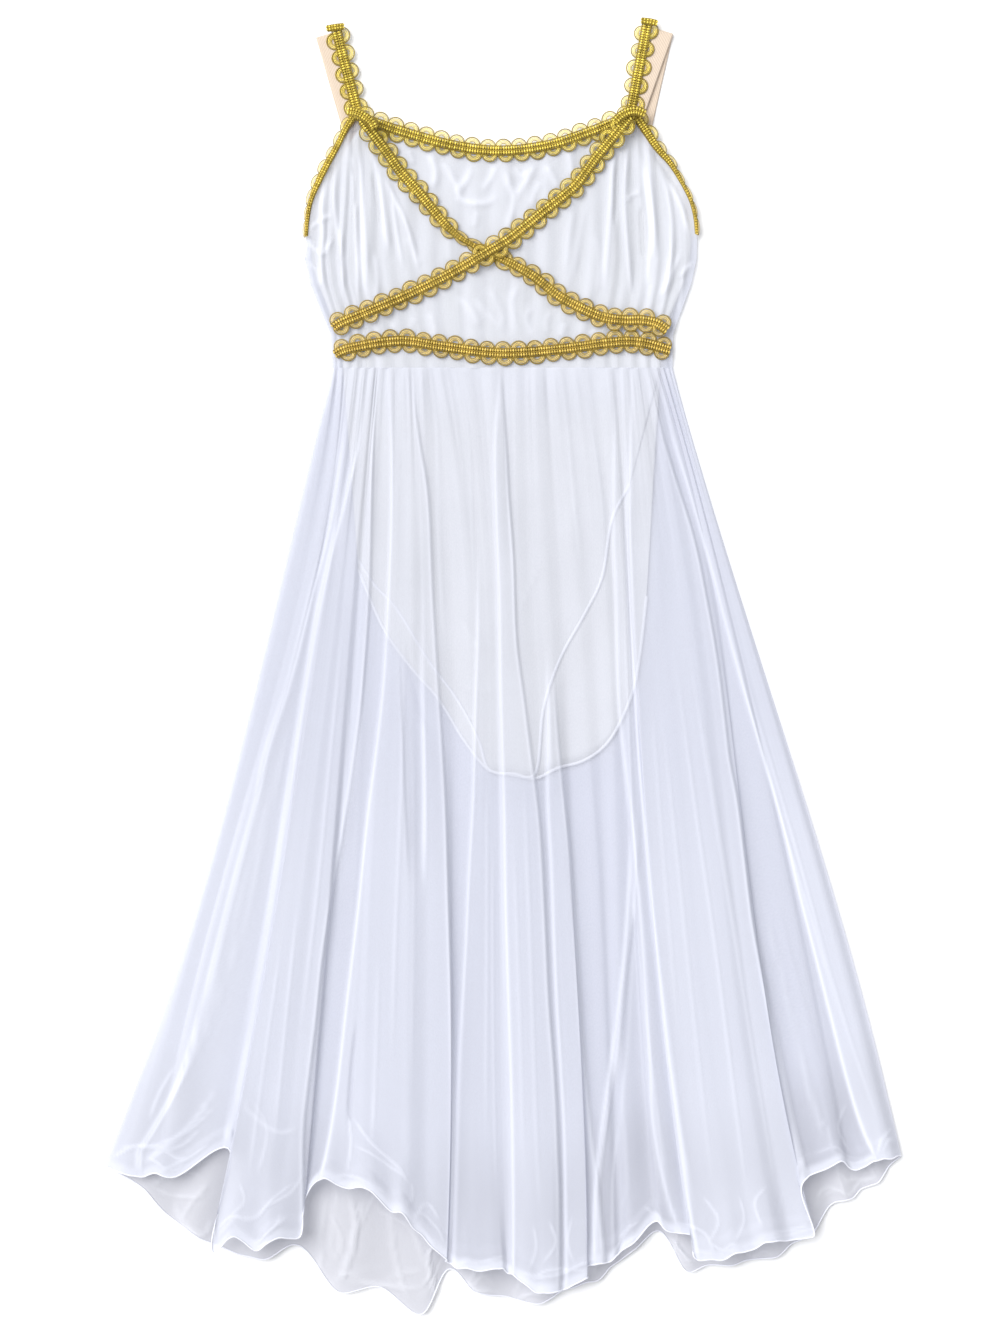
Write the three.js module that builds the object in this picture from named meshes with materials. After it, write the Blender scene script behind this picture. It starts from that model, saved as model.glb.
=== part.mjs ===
import * as THREE from 'three';

// Lyrical dance costume in a child's size, lying on its back on a flat surface.
// Millimetres. X runs across the garment, Y from the hem to the neck, Z up from the surface.
// The origin is at the middle of the underside.

// Driving dimensions
const CLOTH = 1.2; // wall of every cloth layer
const SEAM = 0.3; // gap between neighbouring pieces
const LAYER = CLOTH + SEAM; // one cloth layer with its gap
const WAIST_Y = 196; // waist seam
const WAIST_LEFT = -112.5;
const WAIST_RIGHT = 112;
const LINING_INSET = 4; // how far the leotard's sides lie inside the outer layer
const GATHER_LIFT = 1.7; // height of a gather where it is stitched down

// Underside height of each layer, from the surface up
const LEVEL = {
  outerBack: 0,
  leotardBack: LAYER,
  leotardFront: 2 * LAYER,
  outerFront: 3 * LAYER,
};

const BRAID = {
  pitch: 10.6, // one scallop
  inner: 4.9, // half width between two scallops
  outer: 8, // half width at a scallop's crown
  core: 3.4, // half width of the raised gimp cord
  flange: 1.2, // thickness at the edge
  crown: 2.8, // thickness at the cord
  stepsPerPitch: 3,
};
const ARMHOLE_WIDTH = 0.62; // the armhole braid is folded over its edge, so less of it shows

const ELASTIC = { width: 12, thickness: 1, foldGap: 0.7 };

// Half outlines of the body above the waist seam, for every row of height y
const SIDE_SEAMS = [
  { y: 196, left: -112.5, right: 112 },
  { y: 219, left: -113.5, right: 112.5 },
  { y: 233, left: -119.5, right: 117.5 },
  { y: 252, left: -127, right: 124.5 },
  { y: 268, left: -130.4, right: 128 },
  { y: 284, left: -129.8, right: 128.4 },
];

// Cloth edge under the armhole and neck braids, from the left underarm to the right one
const TOP_EDGE = [
  { x: -129.7, y: 282 },
  { x: -129, y: 296 },
  { x: -125, y: 309 },
  { x: -117, y: 324 },
  { x: -108.6, y: 340 },
  { x: -100.7, y: 353 },
  { x: -95.4, y: 360 },
  { x: -86, y: 357 },
  { x: -67.7, y: 352 },
  { x: -34.7, y: 343 },
  { x: -1.7, y: 339 },
  { x: 31.4, y: 343 },
  { x: 57.8, y: 351 },
  { x: 76, y: 358 },
  { x: 84.8, y: 361 },
  { x: 91, y: 357 },
  { x: 100.7, y: 342 },
  { x: 109, y: 331 },
  { x: 118.5, y: 316 },
  { x: 125, y: 303 },
  { x: 128.4, y: 283 },
];

// Straight back neck edge, hidden behind the front
const BACK_EDGE = [
  { x: -129.7, y: 282 },
  { x: -104, y: 296 },
  { x: -90, y: 300 },
  { x: -62, y: 300 },
  { x: -1, y: 288 },
  { x: 60, y: 300 },
  { x: 88, y: 300 },
  { x: 103, y: 296 },
  { x: 128.4, y: 283 },
];

// Gathers of the bodice overlay: crest at the top edge, crest at the waist, height
const BODICE_GATHERS = [
  { top: -126, waist: -110.5, lift: 1.4 },
  { top: -117, waist: -107, lift: 2 },
  { top: -108.6, waist: -102, lift: 2.6 },
  { top: -101, waist: -96, lift: 3 },
  { top: -95, waist: -88, lift: 3.2 },
  { top: -87, waist: -77, lift: 3 },
  { top: -77, waist: -65, lift: 2.4 },
  { top: -64, waist: -54, lift: 2 },
  { top: -48, waist: -43, lift: 2.2 },
  { top: -31, waist: -31, lift: 2.6 },
  { top: -15, waist: -18, lift: 2.2 },
  { top: 2, waist: -4, lift: 2.6 },
  { top: 17, waist: 11, lift: 2.2 },
  { top: 31, waist: 25, lift: 2 },
  { top: 46, waist: 38, lift: 2.2 },
  { top: 60, waist: 52, lift: 2 },
  { top: 72, waist: 66, lift: 3 },
  { top: 80, waist: 76, lift: 3.2 },
  { top: 88, waist: 85, lift: 3.2 },
  { top: 96, waist: 95, lift: 2.6 },
  { top: 105, waist: 102, lift: 2.4 },
  { top: 118, waist: 108, lift: 1.6 },
];

// Folds of the skirt front. waist, upper, lower and hem are the crest's x at four stations
// down the skirt, end is its y at the hem, lift its height there. dip is the share of the
// height that the valley on its right keeps, and pull how far that valley's hem draws up.
const FRONT_FOLDS = [
  { waist: -111, upper: -140, lower: -190, hem: -243, end: -335, lift: 6, dip: 0.4, pull: 1 },
  { waist: -106, upper: -126, lower: -176, hem: -216, end: -333, lift: 8, dip: 0, pull: 46 },
  { waist: -97, upper: -117, lower: -149, hem: -190, end: -380, lift: 14, dip: 0.6, pull: 9 },
  { waist: -91, upper: -109, lower: -134, hem: -159, end: -379, lift: 13, dip: 0.65, pull: 0 },
  { waist: -85, upper: -99, lower: -115, hem: -132, end: -370, lift: 12, dip: 0, pull: 4 },
  { waist: -80, upper: -89, lower: -96, hem: -118, end: -337, lift: 12, dip: 0.6, pull: 0 },
  { waist: -73, upper: -76, lower: -85, hem: -89, end: -343, lift: 13, dip: 0.4, pull: -2 },
  { waist: -63, upper: -60, lower: -62, hem: -62, end: -361, lift: 12, dip: 0.5, pull: -2 },
  { waist: -53, upper: -45, lower: -36, hem: -37, end: -386, lift: 11, dip: 0.05, pull: 0 },
  { waist: -41, upper: -22, lower: -22, hem: -29, end: -392, lift: 9, dip: 0.5, pull: -1 },
  { waist: -27, upper: -10, lower: -8, hem: -3, end: -395, lift: 10, dip: 0.3, pull: 0 },
  { waist: -8, upper: -1, lower: 3, hem: 9, end: -399, lift: 13, dip: 0.5, pull: -4 },
  { waist: 8, upper: 12, lower: 27, hem: 30, end: -410, lift: 12, dip: 0.5, pull: -5 },
  { waist: 22, upper: 30, lower: 46, hem: 55, end: -401, lift: 11, dip: 0.4, pull: 0 },
  { waist: 36, upper: 50, lower: 62, hem: 71, end: -389, lift: 9, dip: 0.5, pull: 0 },
  { waist: 52, upper: 68, lower: 78, hem: 86, end: -379, lift: 10, dip: 0, pull: 8 },
  { waist: 69, upper: 83, lower: 94, hem: 107, end: -368, lift: 13, dip: 0.65, pull: 4 },
  { waist: 80, upper: 94, lower: 107, hem: 125, end: -387, lift: 13, dip: 0.6, pull: -5 },
  { waist: 88, upper: 107, lower: 126, hem: 154, end: -384, lift: 13, dip: 0.65, pull: 0 },
  { waist: 95, upper: 122, lower: 145, hem: 177, end: -377, lift: 12, dip: 0.65, pull: -1 },
  { waist: 101, upper: 137, lower: 164, hem: 204, end: -371, lift: 13, dip: 0, pull: 6 },
  { waist: 105.5, upper: 143, lower: 182, hem: 220, end: -326, lift: 8, dip: 0.5, pull: -2 },
  { waist: 109, upper: 148, lower: 196, hem: 240, end: -328, lift: 8, dip: 0.4, pull: 2 },
];
const SKIRT_EDGES = {
  left: { waist: -112.5, upper: -147, lower: -194, hem: -262.6, end: -330 },
  right: { waist: 112, upper: 153.5, lower: 211, hem: 262.6, end: -324 },
};

// Lobes of the skirt back, which rises only near its hem
const BACK_FOLDS = [
  { waist: -102, upper: -128, lower: -172, hem: -238, end: -343, lift: 2.6, dip: 0.1, pull: -4 },
  { waist: -90, upper: -112, lower: -150, hem: -203, end: -373, lift: 4, dip: 0.1, pull: -2 },
  { waist: -74, upper: -90, lower: -118, hem: -159, end: -391, lift: 4, dip: 0.1, pull: 18 },
  { waist: -52, upper: -62, lower: -80, hem: -107, end: -411, lift: 4, dip: 0.4, pull: 8 },
  { waist: -28, upper: -34, lower: -43, hem: -53, end: -425, lift: 4, dip: 0, pull: 22 },
  { waist: -10, upper: -12, lower: -15, hem: -18, end: -413, lift: 3.5, dip: 0.3, pull: 2 },
  { waist: 12, upper: 14, lower: 18, hem: 24, end: -421, lift: 4, dip: 0.2, pull: 2 },
  { waist: 30, upper: 38, lower: 48, hem: 60, end: -405, lift: 3.5, dip: 0.3, pull: 0 },
  { waist: 44, upper: 54, lower: 70, hem: 87, end: -383, lift: 3, dip: 0, pull: 18 },
  { waist: 58, upper: 74, lower: 95, hem: 121, end: -397, lift: 4, dip: 0.3, pull: 2 },
  { waist: 70, upper: 92, lower: 120, hem: 151, end: -395, lift: 4, dip: 0.3, pull: 1 },
  { waist: 80, upper: 108, lower: 142, hem: 180, end: -389, lift: 3.5, dip: 0.3, pull: 2 },
  { waist: 90, upper: 122, lower: 162, hem: 204, end: -374, lift: 3.5, dip: 0.1, pull: 6 },
  { waist: 98, upper: 134, lower: 180, hem: 227, end: -352, lift: 3, dip: 0.1, pull: 0 },
  { waist: 105, upper: 144, lower: 196, hem: 248, end: -339, lift: 2.4, dip: 0.1, pull: 2 },
];

// Brief of the leotard below the waist seam: x at the waist, and the leg edge's point
const FRONT_BRIEF = [
  { waist: -109, x: -95, y: 70 },
  { waist: -90, x: -84, y: 53 },
  { waist: -70, x: -70, y: 38 },
  { waist: -50, x: -49, y: 4 },
  { waist: -32, x: -30, y: -22 },
  { waist: -16, x: -16, y: -48 },
  { waist: -4, x: -9, y: -68 },
  { waist: 8, x: 7, y: -71 },
  { waist: 18, x: 22, y: -70 },
  { waist: 28, x: 27, y: -28 },
  { waist: 42, x: 38, y: 5 },
  { waist: 58, x: 55, y: 36 },
  { waist: 75, x: 66, y: 60 },
  { waist: 92, x: 72, y: 96 },
  { waist: 108, x: 84, y: 120 },
];
const BACK_BRIEF = [
  { waist: -109, x: -95, y: 64 },
  { waist: -90, x: -79, y: 26 },
  { waist: -70, x: -61, y: 0 },
  { waist: -50, x: -42, y: -22 },
  { waist: -32, x: -26, y: -48 },
  { waist: -16, x: -12, y: -66 },
  { waist: -4, x: -5, y: -70 },
  { waist: 8, x: 8, y: -72 },
  { waist: 18, x: 22, y: -74 },
  { waist: 28, x: 37, y: -67 },
  { waist: 42, x: 52, y: -63 },
  { waist: 58, x: 66, y: -54 },
  { waist: 75, x: 77, y: -38 },
  { waist: 92, x: 88, y: -8 },
  { waist: 108, x: 95, y: 46 },
];

// Centre lines of the braids, as plan points
const PATHS = {
  strapLeft: [[-109.9, 417.5], [-102.6, 392], [-95.8, 369]],
  strapRight: [[95.4, 423.4], [90.3, 396], [85, 371]],
  neck: [
    [-96, 362], [-84, 357.7], [-67.7, 352.4], [-34.7, 343.2], [-1.7, 339.2],
    [31.4, 343.2], [57.8, 351.8], [71, 357], [85.5, 362],
  ],
  armholeLeft: [
    [-100.5, 360], [-104, 353], [-109, 342], [-115.2, 330.7], [-121.8, 317.5],
    [-126.4, 305.6], [-128.6, 293], [-129.3, 283],
  ],
  armholeRight: [
    [90.5, 360], [95, 351.5], [102, 341], [110.6, 331], [117.8, 319],
    [123.8, 307], [126.8, 296], [127.9, 284.5],
  ],
  crossUnder: [
    [-88.8, 352], [-77.6, 340], [-67.7, 326], [-54.5, 311], [-38, 291], [-24.8, 280],
    [-8.3, 272], [18.2, 258], [38, 243], [58.4, 232.5], [69, 228.8], [81, 227.4],
    [91.4, 227.5], [101.3, 225.5], [108, 221],
  ],
  crossOver: [
    [78.5, 352], [71.5, 347], [61.7, 334.6], [51.2, 320], [44.6, 313], [24.8, 297.5],
    [5, 281.5], [-8.3, 273.2], [-34.7, 258], [-61, 245], [-87.5, 233.6], [-106, 226],
    [-111, 222.5],
  ],
  waist: [
    [-110, 205], [-100.7, 209], [-67.7, 214], [-41, 210.5], [-1, 206], [38, 208.6],
    [73, 213], [90.8, 213], [110, 208],
  ],
};

// Elastic straps: middle of each end and of the fold, front end first
const STRAPS = {
  left: { join: [-97.5, 353], top: [-117, 415], back: [-84, 300.3] },
  right: { join: [83.5, 353], top: [106.5, 417.5], back: [80, 300.3] },
};

const smooth = (x) => {
  const t = Math.min(1, Math.max(0, x));
  return t * t * (3 - 2 * t);
};
const mix = (a, b, t) => a + (b - a) * t;

// Value of a column of a table at a place along another column, along straight lines
function lookUp(rows, along, column, at) {
  if (at <= rows[0][along]) return rows[0][column];
  for (let i = 1; i < rows.length; i += 1) {
    const a = rows[i - 1];
    const b = rows[i];
    if (at <= b[along]) return mix(a[column], b[column], (at - a[along]) / (b[along] - a[along]));
  }
  return rows[rows.length - 1][column];
}

// Body half width on the side of x, at height y
function sideAt(y, isLeft) {
  return lookUp(SIDE_SEAMS, 'y', isLeft ? 'left' : 'right', y);
}

// Closed wall between two grids of points, rows of equal length
function wallBetween(bottom, top) {
  const rows = top.length;
  const columns = top[0].length;
  const positions = [...bottom.flat(), ...top.flat()].flatMap((p) => [p.x, p.y, p.z]);
  const low = (r, c) => r * columns + c;
  const high = (r, c) => rows * columns + low(r, c);
  const index = [];
  const quad = (a, b, c, d) => index.push(a, b, c, a, c, d);
  for (let r = 0; r < rows - 1; r += 1) {
    for (let c = 0; c < columns - 1; c += 1) {
      quad(high(r, c), high(r + 1, c), high(r + 1, c + 1), high(r, c + 1));
      quad(low(r, c), low(r, c + 1), low(r + 1, c + 1), low(r + 1, c));
    }
  }
  for (let c = 0; c < columns - 1; c += 1) {
    quad(low(0, c), high(0, c), high(0, c + 1), low(0, c + 1));
    quad(low(rows - 1, c), low(rows - 1, c + 1), high(rows - 1, c + 1), high(rows - 1, c));
  }
  for (let r = 0; r < rows - 1; r += 1) {
    quad(low(r, 0), low(r + 1, 0), high(r + 1, 0), high(r, 0));
    quad(low(r, columns - 1), high(r, columns - 1), high(r + 1, columns - 1), low(r + 1, columns - 1));
  }
  const geometry = new THREE.BufferGeometry();
  geometry.setAttribute('position', new THREE.Float32BufferAttribute(positions, 3));
  geometry.setIndex(index);
  geometry.computeVertexNormals();
  return geometry;
}

// Raises an underside by the cloth's thickness, measured square to its slope
function raised(bottom) {
  const last = { r: bottom.length - 1, c: bottom[0].length - 1 };
  return bottom.map((row, r) => row.map((p, c) => {
    const down = bottom[Math.min(last.r, r + 1)][c].clone().sub(bottom[Math.max(0, r - 1)][c]);
    const across = row[Math.min(last.c, c + 1)].clone().sub(row[Math.max(0, c - 1)]);
    const normal = down.cross(across).normalize();
    const rise = Math.min(2.2, 1 / Math.max(0.3, Math.abs(normal.z)));
    return new THREE.Vector3(p.x, p.y, p.z + CLOTH * rise);
  }));
}

function clothWall(bottom) {
  return wallBetween(bottom, raised(bottom));
}

// Lines down a gathered panel: a side edge, then a crest and a valley for each fold, the other edge
function foldLines(folds, edges) {
  const stations = ['waist', 'upper', 'lower', 'hem'];
  const lines = [{ ...edges.left, lift: 0, gather: 0 }];
  folds.forEach((fold, i) => {
    const next = folds[i + 1] ?? { ...edges.right, lift: 0 };
    lines.push({ ...fold, gather: 1 });
    const valley = { gather: 0 };
    stations.forEach((station) => {
      valley[station] = (fold[station] + next[station]) / 2;
    });
    valley.end = (fold.end + next.end) / 2 + fold.pull;
    valley.lift = fold.dip * Math.min(fold.lift, next.lift || fold.lift);
    lines.push(valley);
  });
  lines.push({ ...edges.right, lift: 0, gather: 0 });
  return lines;
}

// A fold line's x at share v of its way down
const STATION_AT = { upper: 0.27, lower: 0.62 };
function lineX(line, v) {
  const rows = [
    { v: 0, x: line.waist },
    { v: STATION_AT.upper, x: line.upper },
    { v: STATION_AT.lower, x: line.lower },
    { v: 1, x: line.hem },
  ];
  return lookUp(rows, 'v', 'x', v);
}

// Height above the surface at which each point of a plan grid clears all that lies under it.
// Every point clears its four cells whole, so the flat faces between the points do too.
function seatOf(plan, under, bare) {
  const probes = [0, 1 / 3, 2 / 3, 1];
  const cellTop = (r, c) => {
    let best = null;
    probes.forEach((s) => probes.forEach((t) => {
      const [a, b, d, e] = [plan[r][c], plan[r][c + 1], plan[r + 1][c], plan[r + 1][c + 1]];
      const x = mix(mix(a.x, b.x, s), mix(d.x, e.x, s), t);
      const y = mix(mix(a.y, b.y, s), mix(d.y, e.y, s), t);
      const z = topOf(under, x, y);
      if (z !== null) best = best === null ? z : Math.max(best, z);
    }));
    return best;
  };
  const cells = plan.slice(1).map((_, r) => plan[0].slice(1).map((__, c) => cellTop(r, c)));
  return plan.map((row, r) => row.map((_, c) => {
    const near = [[r - 1, c - 1], [r - 1, c], [r, c - 1], [r, c]]
      .map(([i, j]) => cells[i]?.[j] ?? null)
      .filter((z) => z !== null);
    return near.length ? Math.max(...near) + SEAM : bare;
  }));
}

function skirtPlan(folds, rowsAt, segments) {
  const lines = foldLines(folds, SKIRT_EDGES);
  return rowsAt.map((v) => {
    const places = [];
    for (let i = 0; i < lines.length - 1; i += 1) {
      for (let s = 0; s < segments; s += 1) places.push([i, s / segments]);
    }
    places.push([lines.length - 2, 1]);
    return places.map(([i, t]) => {
      const [a, b] = [lines[i], lines[i + 1]];
      return {
        x: mix(lineX(a, v), lineX(b, v), t),
        y: mix(WAIST_Y - SEAM, mix(a.end, b.end, t), v),
        u: (i + t) / (lines.length - 1),
        v,
        lift: mix(a.lift, b.lift, smooth(t)),
        gather: mix(a.gather, b.gather, smooth(t)),
      };
    });
  });
}

function skirtBack() {
  const rowsAt = [0, 0.3, 0.55, 0.7, 0.78, 0.86, 0.93, 1];
  const plan = skirtPlan(BACK_FOLDS, rowsAt, 2);
  const rise = (v) => smooth((v - 0.7) / 0.28);
  return clothWall(plan.map((row) => row.map((p) => (
    new THREE.Vector3(p.x, p.y, LEVEL.outerBack + p.lift * rise(p.v))
  ))));
}

function skirtFront(under) {
  const rowsAt = [0, 0.05, 0.12, 0.22, 0.33, 0.44, 0.55, 0.66, 0.76, 0.86, 0.94, 1];
  const edgeShare = 0.045;
  const plan = skirtPlan(FRONT_FOLDS, rowsAt, 2);
  const seats = seatOf(plan, under, LAYER);
  return clothWall(plan.map((row, r) => row.map((p, c) => {
    const inside = smooth((2 * Math.min(p.u, 1 - p.u)) / edgeShare);
    const fold = p.lift * (0.12 + 0.88 * p.v ** 0.85) * smooth(p.v / 0.25);
    const stitched = GATHER_LIFT * p.gather * (1 - smooth(p.v / 0.35));
    return new THREE.Vector3(p.x, p.y, seats[r][c] + fold * inside + stitched);
  })));
}

// Point of a body panel: share v of the way from its top point down to the waist
function bodyPoint(top, waistX, v, inset) {
  const isLeft = waistX < 0;
  const y = mix(top.y, WAIST_Y + SEAM / 2, v);
  const sideNow = Math.abs(sideAt(y, isLeft));
  const sideTop = Math.abs(sideAt(top.y, isLeft));
  const sideWaist = Math.abs(sideAt(WAIST_Y, isLeft));
  const share = mix(top.x / sideTop, waistX / sideWaist, v);
  return { x: share * (sideNow - inset), y };
}

function bodiceFront(under) {
  const rowsAt = [0, 0.1, 0.28, 0.48, 0.68, 0.86, 1];
  const segments = 2;
  const edges = {
    left: { top: TOP_EDGE[0].x, waist: WAIST_LEFT, lift: 0 },
    right: { top: TOP_EDGE[TOP_EDGE.length - 1].x, waist: WAIST_RIGHT, lift: 0 },
  };
  const lines = [edges.left];
  BODICE_GATHERS.forEach((gather, i) => {
    const next = BODICE_GATHERS[i + 1] ?? edges.right;
    lines.push(gather);
    lines.push({ top: (gather.top + next.top) / 2, waist: (gather.waist + next.waist) / 2, lift: 0 });
  });
  lines.push(edges.right);
  const places = [];
  for (let i = 0; i < lines.length - 1; i += 1) {
    for (let s = 0; s < segments; s += 1) places.push([i, s / segments]);
  }
  places.push([lines.length - 2, 1]);
  const plan = rowsAt.map((v) => places.map(([i, t]) => {
    const [a, b] = [lines[i], lines[i + 1]];
    const topX = mix(a.top, b.top, t);
    const top = { x: topX, y: lookUp(TOP_EDGE, 'x', 'y', topX) };
    const p = bodyPoint(top, mix(a.waist, b.waist, t), v, 0);
    const lift = mix(a.lift, b.lift, smooth(t)) * (0.55 + 0.45 * Math.sin(Math.PI * v));
    return { ...p, lift };
  }));
  const seats = seatOf(plan, under, LEVEL.outerFront);
  return clothWall(plan.map((row, r) => row.map((p, c) => (
    new THREE.Vector3(p.x, p.y, seats[r][c] + p.lift)
  ))));
}

// Flat body panel between a top edge and the waist, and on down to a leg edge if it has one
function flatPanel({ topEdge, brief, level, inset, columns, lower }) {
  const waistColumns = brief ?? columns.map((waist) => ({ waist }));
  const rowsAt = [0, 0.15, 0.35, 0.6, 0.85, 1];
  const first = topEdge[0].x;
  const last = topEdge[topEdge.length - 1].x;
  const span = waistColumns[waistColumns.length - 1].waist - waistColumns[0].waist;
  const grid = rowsAt.map((v) => waistColumns.map((column) => {
    const topX = mix(first, last, (column.waist - waistColumns[0].waist) / span);
    const top = { x: topX, y: lookUp(topEdge, 'x', 'y', topX) - lower };
    const p = bodyPoint(top, column.waist, v, inset);
    return new THREE.Vector3(p.x, p.y, level);
  }));
  if (brief) {
    const waistRow = grid[grid.length - 1];
    [0.12, 0.3, 0.5, 0.7, 0.86, 1].forEach((v) => {
      grid.push(brief.map((column, i) => new THREE.Vector3(
        mix(waistRow[i].x, column.x, v),
        mix(waistRow[i].y, column.y, v),
        level,
      )));
    });
  }
  return clothWall(grid);
}

function bodiceBack() {
  const columns = [];
  for (let i = 0; i <= 10; i += 1) columns.push(mix(WAIST_LEFT, WAIST_RIGHT, i / 10));
  return flatPanel({ topEdge: BACK_EDGE, level: LEVEL.outerBack, inset: 0, columns, lower: 0 });
}

function leotardBack() {
  return flatPanel({
    topEdge: BACK_EDGE, brief: BACK_BRIEF, level: LEVEL.leotardBack, inset: LINING_INSET, lower: 0,
  });
}

function leotardFront() {
  return flatPanel({
    topEdge: TOP_EDGE, brief: FRONT_BRIEF, level: LEVEL.leotardFront, inset: LINING_INSET, lower: 3,
  });
}

// Highest point of the given pieces at a plan point, or null beside them
function topOf(geometries, x, y) {
  let best = null;
  geometries.forEach((geometry) => {
    const p = geometry.getAttribute('position').array;
    const index = geometry.getIndex().array;
    for (let i = 0; i < index.length; i += 3) {
      const [a, b, c] = [index[i] * 3, index[i + 1] * 3, index[i + 2] * 3];
      const area = (p[b] - p[a]) * (p[c + 1] - p[a + 1]) - (p[c] - p[a]) * (p[b + 1] - p[a + 1]);
      if (area > 1e-6) {
        const s = ((p[b] - x) * (p[c + 1] - y) - (p[c] - x) * (p[b + 1] - y)) / area;
        const t = ((p[c] - x) * (p[a + 1] - y) - (p[a] - x) * (p[c + 1] - y)) / area;
        if (s >= 0 && t >= 0 && s + t <= 1) {
          const z = s * p[a + 2] + t * p[b + 2] + (1 - s - t) * p[c + 2];
          best = best === null ? z : Math.max(best, z);
        }
      }
    }
  });
  return best;
}

// Scalloped braid along a plan path, seated on the pieces under it
function braid(path, under, width = 1) {
  const curve = new THREE.CatmullRomCurve3(
    path.map(([x, y]) => new THREE.Vector3(x, y, 0)), false, 'centripetal',
  );
  const scallops = Math.max(2, Math.round(curve.getLength() / BRAID.pitch));
  const stations = scallops * BRAID.stepsPerPitch;
  const frames = [];
  for (let i = 0; i <= stations; i += 1) {
    const along = curve.getTangentAt(i / stations);
    const side = new THREE.Vector3(along.y, -along.x, 0).normalize();
    frames.push({ at: curve.getPointAt(i / stations), side });
  }
  const shares = [-1, -0.6, -0.2, 0.2, 0.6, 1];
  const plan = frames.map(({ at, side }) => shares.map((share) => (
    at.clone().addScaledVector(side, share * BRAID.outer * width)
  )));
  const seats = seatOf(plan, under, LEVEL.outerBack).map((row) => Math.max(...row));
  const rings = frames.map(({ at, side }, i) => {
    const swell = Math.abs(Math.sin((Math.PI * i) / BRAID.stepsPerPitch)) ** 0.8;
    const half = mix(BRAID.inner, BRAID.outer, swell) * width;
    const core = BRAID.core * width;
    const section = [
      [-half, 0], [half, 0], [half, BRAID.flange],
      [core, BRAID.crown], [-core, BRAID.crown], [-half, BRAID.flange],
    ];
    return section.map(([across, up]) => (
      at.clone().addScaledVector(side, across).setZ(seats[i] + up)
    ));
  });
  return tubeThrough(rings);
}

// Closed solid through rings of equal point count
function tubeThrough(rings) {
  const count = rings[0].length;
  const positions = rings.flat().flatMap((p) => [p.x, p.y, p.z]);
  const index = [];
  for (let i = 0; i < rings.length - 1; i += 1) {
    for (let k = 0; k < count; k += 1) {
      const a = i * count + k;
      const b = i * count + ((k + 1) % count);
      index.push(a, a + count, b + count, a, b + count, b);
    }
  }
  const end = (rings.length - 1) * count;
  for (let k = 1; k < count - 1; k += 1) {
    index.push(0, k, k + 1);
    index.push(end, end + k + 1, end + k);
  }
  const geometry = new THREE.BufferGeometry();
  geometry.setAttribute('position', new THREE.Float32BufferAttribute(positions, 3));
  geometry.setIndex(index);
  geometry.computeVertexNormals();
  return geometry;
}

// Elastic strap: up from the back neck edge, folded over at the shoulder, down to the join
function elasticStrap({ join, top, back }) {
  const { width, thickness, foldGap } = ELASTIC;
  const lowZ = thickness / 2;
  const highZ = lowZ + thickness + foldGap;
  const point = ([x, y], z) => new THREE.Vector3(x, y, z);
  const across = (from, to) => {
    const along = to.clone().sub(from).setZ(0).normalize();
    return new THREE.Vector3(along.y, -along.x, 0);
  };
  const backEnd = point(back, lowZ);
  const frontEnd = point(join, highZ);
  const backSide = new THREE.Vector3(1, 0, 0);
  const upSide = across(point(back, 0), point(top, 0));
  const downSide = across(point(join, 0), point(top, 0));
  const foldSide = upSide.clone().add(downSide).normalize();
  const outward = new THREE.Vector3(-foldSide.y, foldSide.x, 0);
  const radius = (highZ - lowZ) / 2;
  const foldCentre = point(top, lowZ + radius);
  const frames = [{ at: backEnd, side: backSide, up: new THREE.Vector3(0, 0, 1) }];
  [0.15, 0.5, 0.85].forEach((t) => {
    frames.push({
      at: backEnd.clone().lerp(point(top, lowZ), t), side: upSide, up: new THREE.Vector3(0, 0, 1),
    });
  });
  const foldSteps = 6;
  for (let i = 0; i <= foldSteps; i += 1) {
    const turn = (Math.PI * i) / foldSteps;
    const up = new THREE.Vector3(0, 0, Math.cos(turn)).addScaledVector(outward, -Math.sin(turn));
    frames.push({ at: foldCentre.clone().addScaledVector(up, -radius), side: foldSide, up });
  }
  [0.85, 0.5, 0.15, 0].forEach((t) => {
    frames.push({
      at: frontEnd.clone().lerp(point(top, highZ), t), side: downSide, up: new THREE.Vector3(0, 0, -1),
    });
  });
  const rings = frames.map(({ at, side, up }) => [
    [-width / 2, -thickness / 2], [width / 2, -thickness / 2],
    [width / 2, thickness / 2], [-width / 2, thickness / 2],
  ].map(([sideways, lift]) => at.clone().addScaledVector(side, sideways).addScaledVector(up, lift)));
  return tubeThrough(rings);
}

// Finishes
const FINISHES = {
  sheerMesh: { color: 0xe7e9f8, roughness: 0.72, metalness: 0 },
  leotardKnit: { color: 0xefece6, roughness: 0.62, metalness: 0 },
  goldBraid: { color: 0xbf9f3f, roughness: 0.42, metalness: 0.65 },
  nudeElastic: { color: 0xefd8c2, roughness: 0.6, metalness: 0 },
};

function addPiece(group, name, geometry, finish) {
  const mesh = new THREE.Mesh(geometry, new THREE.MeshStandardMaterial(FINISHES[finish]));
  mesh.name = name;
  group.add(mesh);
  return geometry;
}

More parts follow.
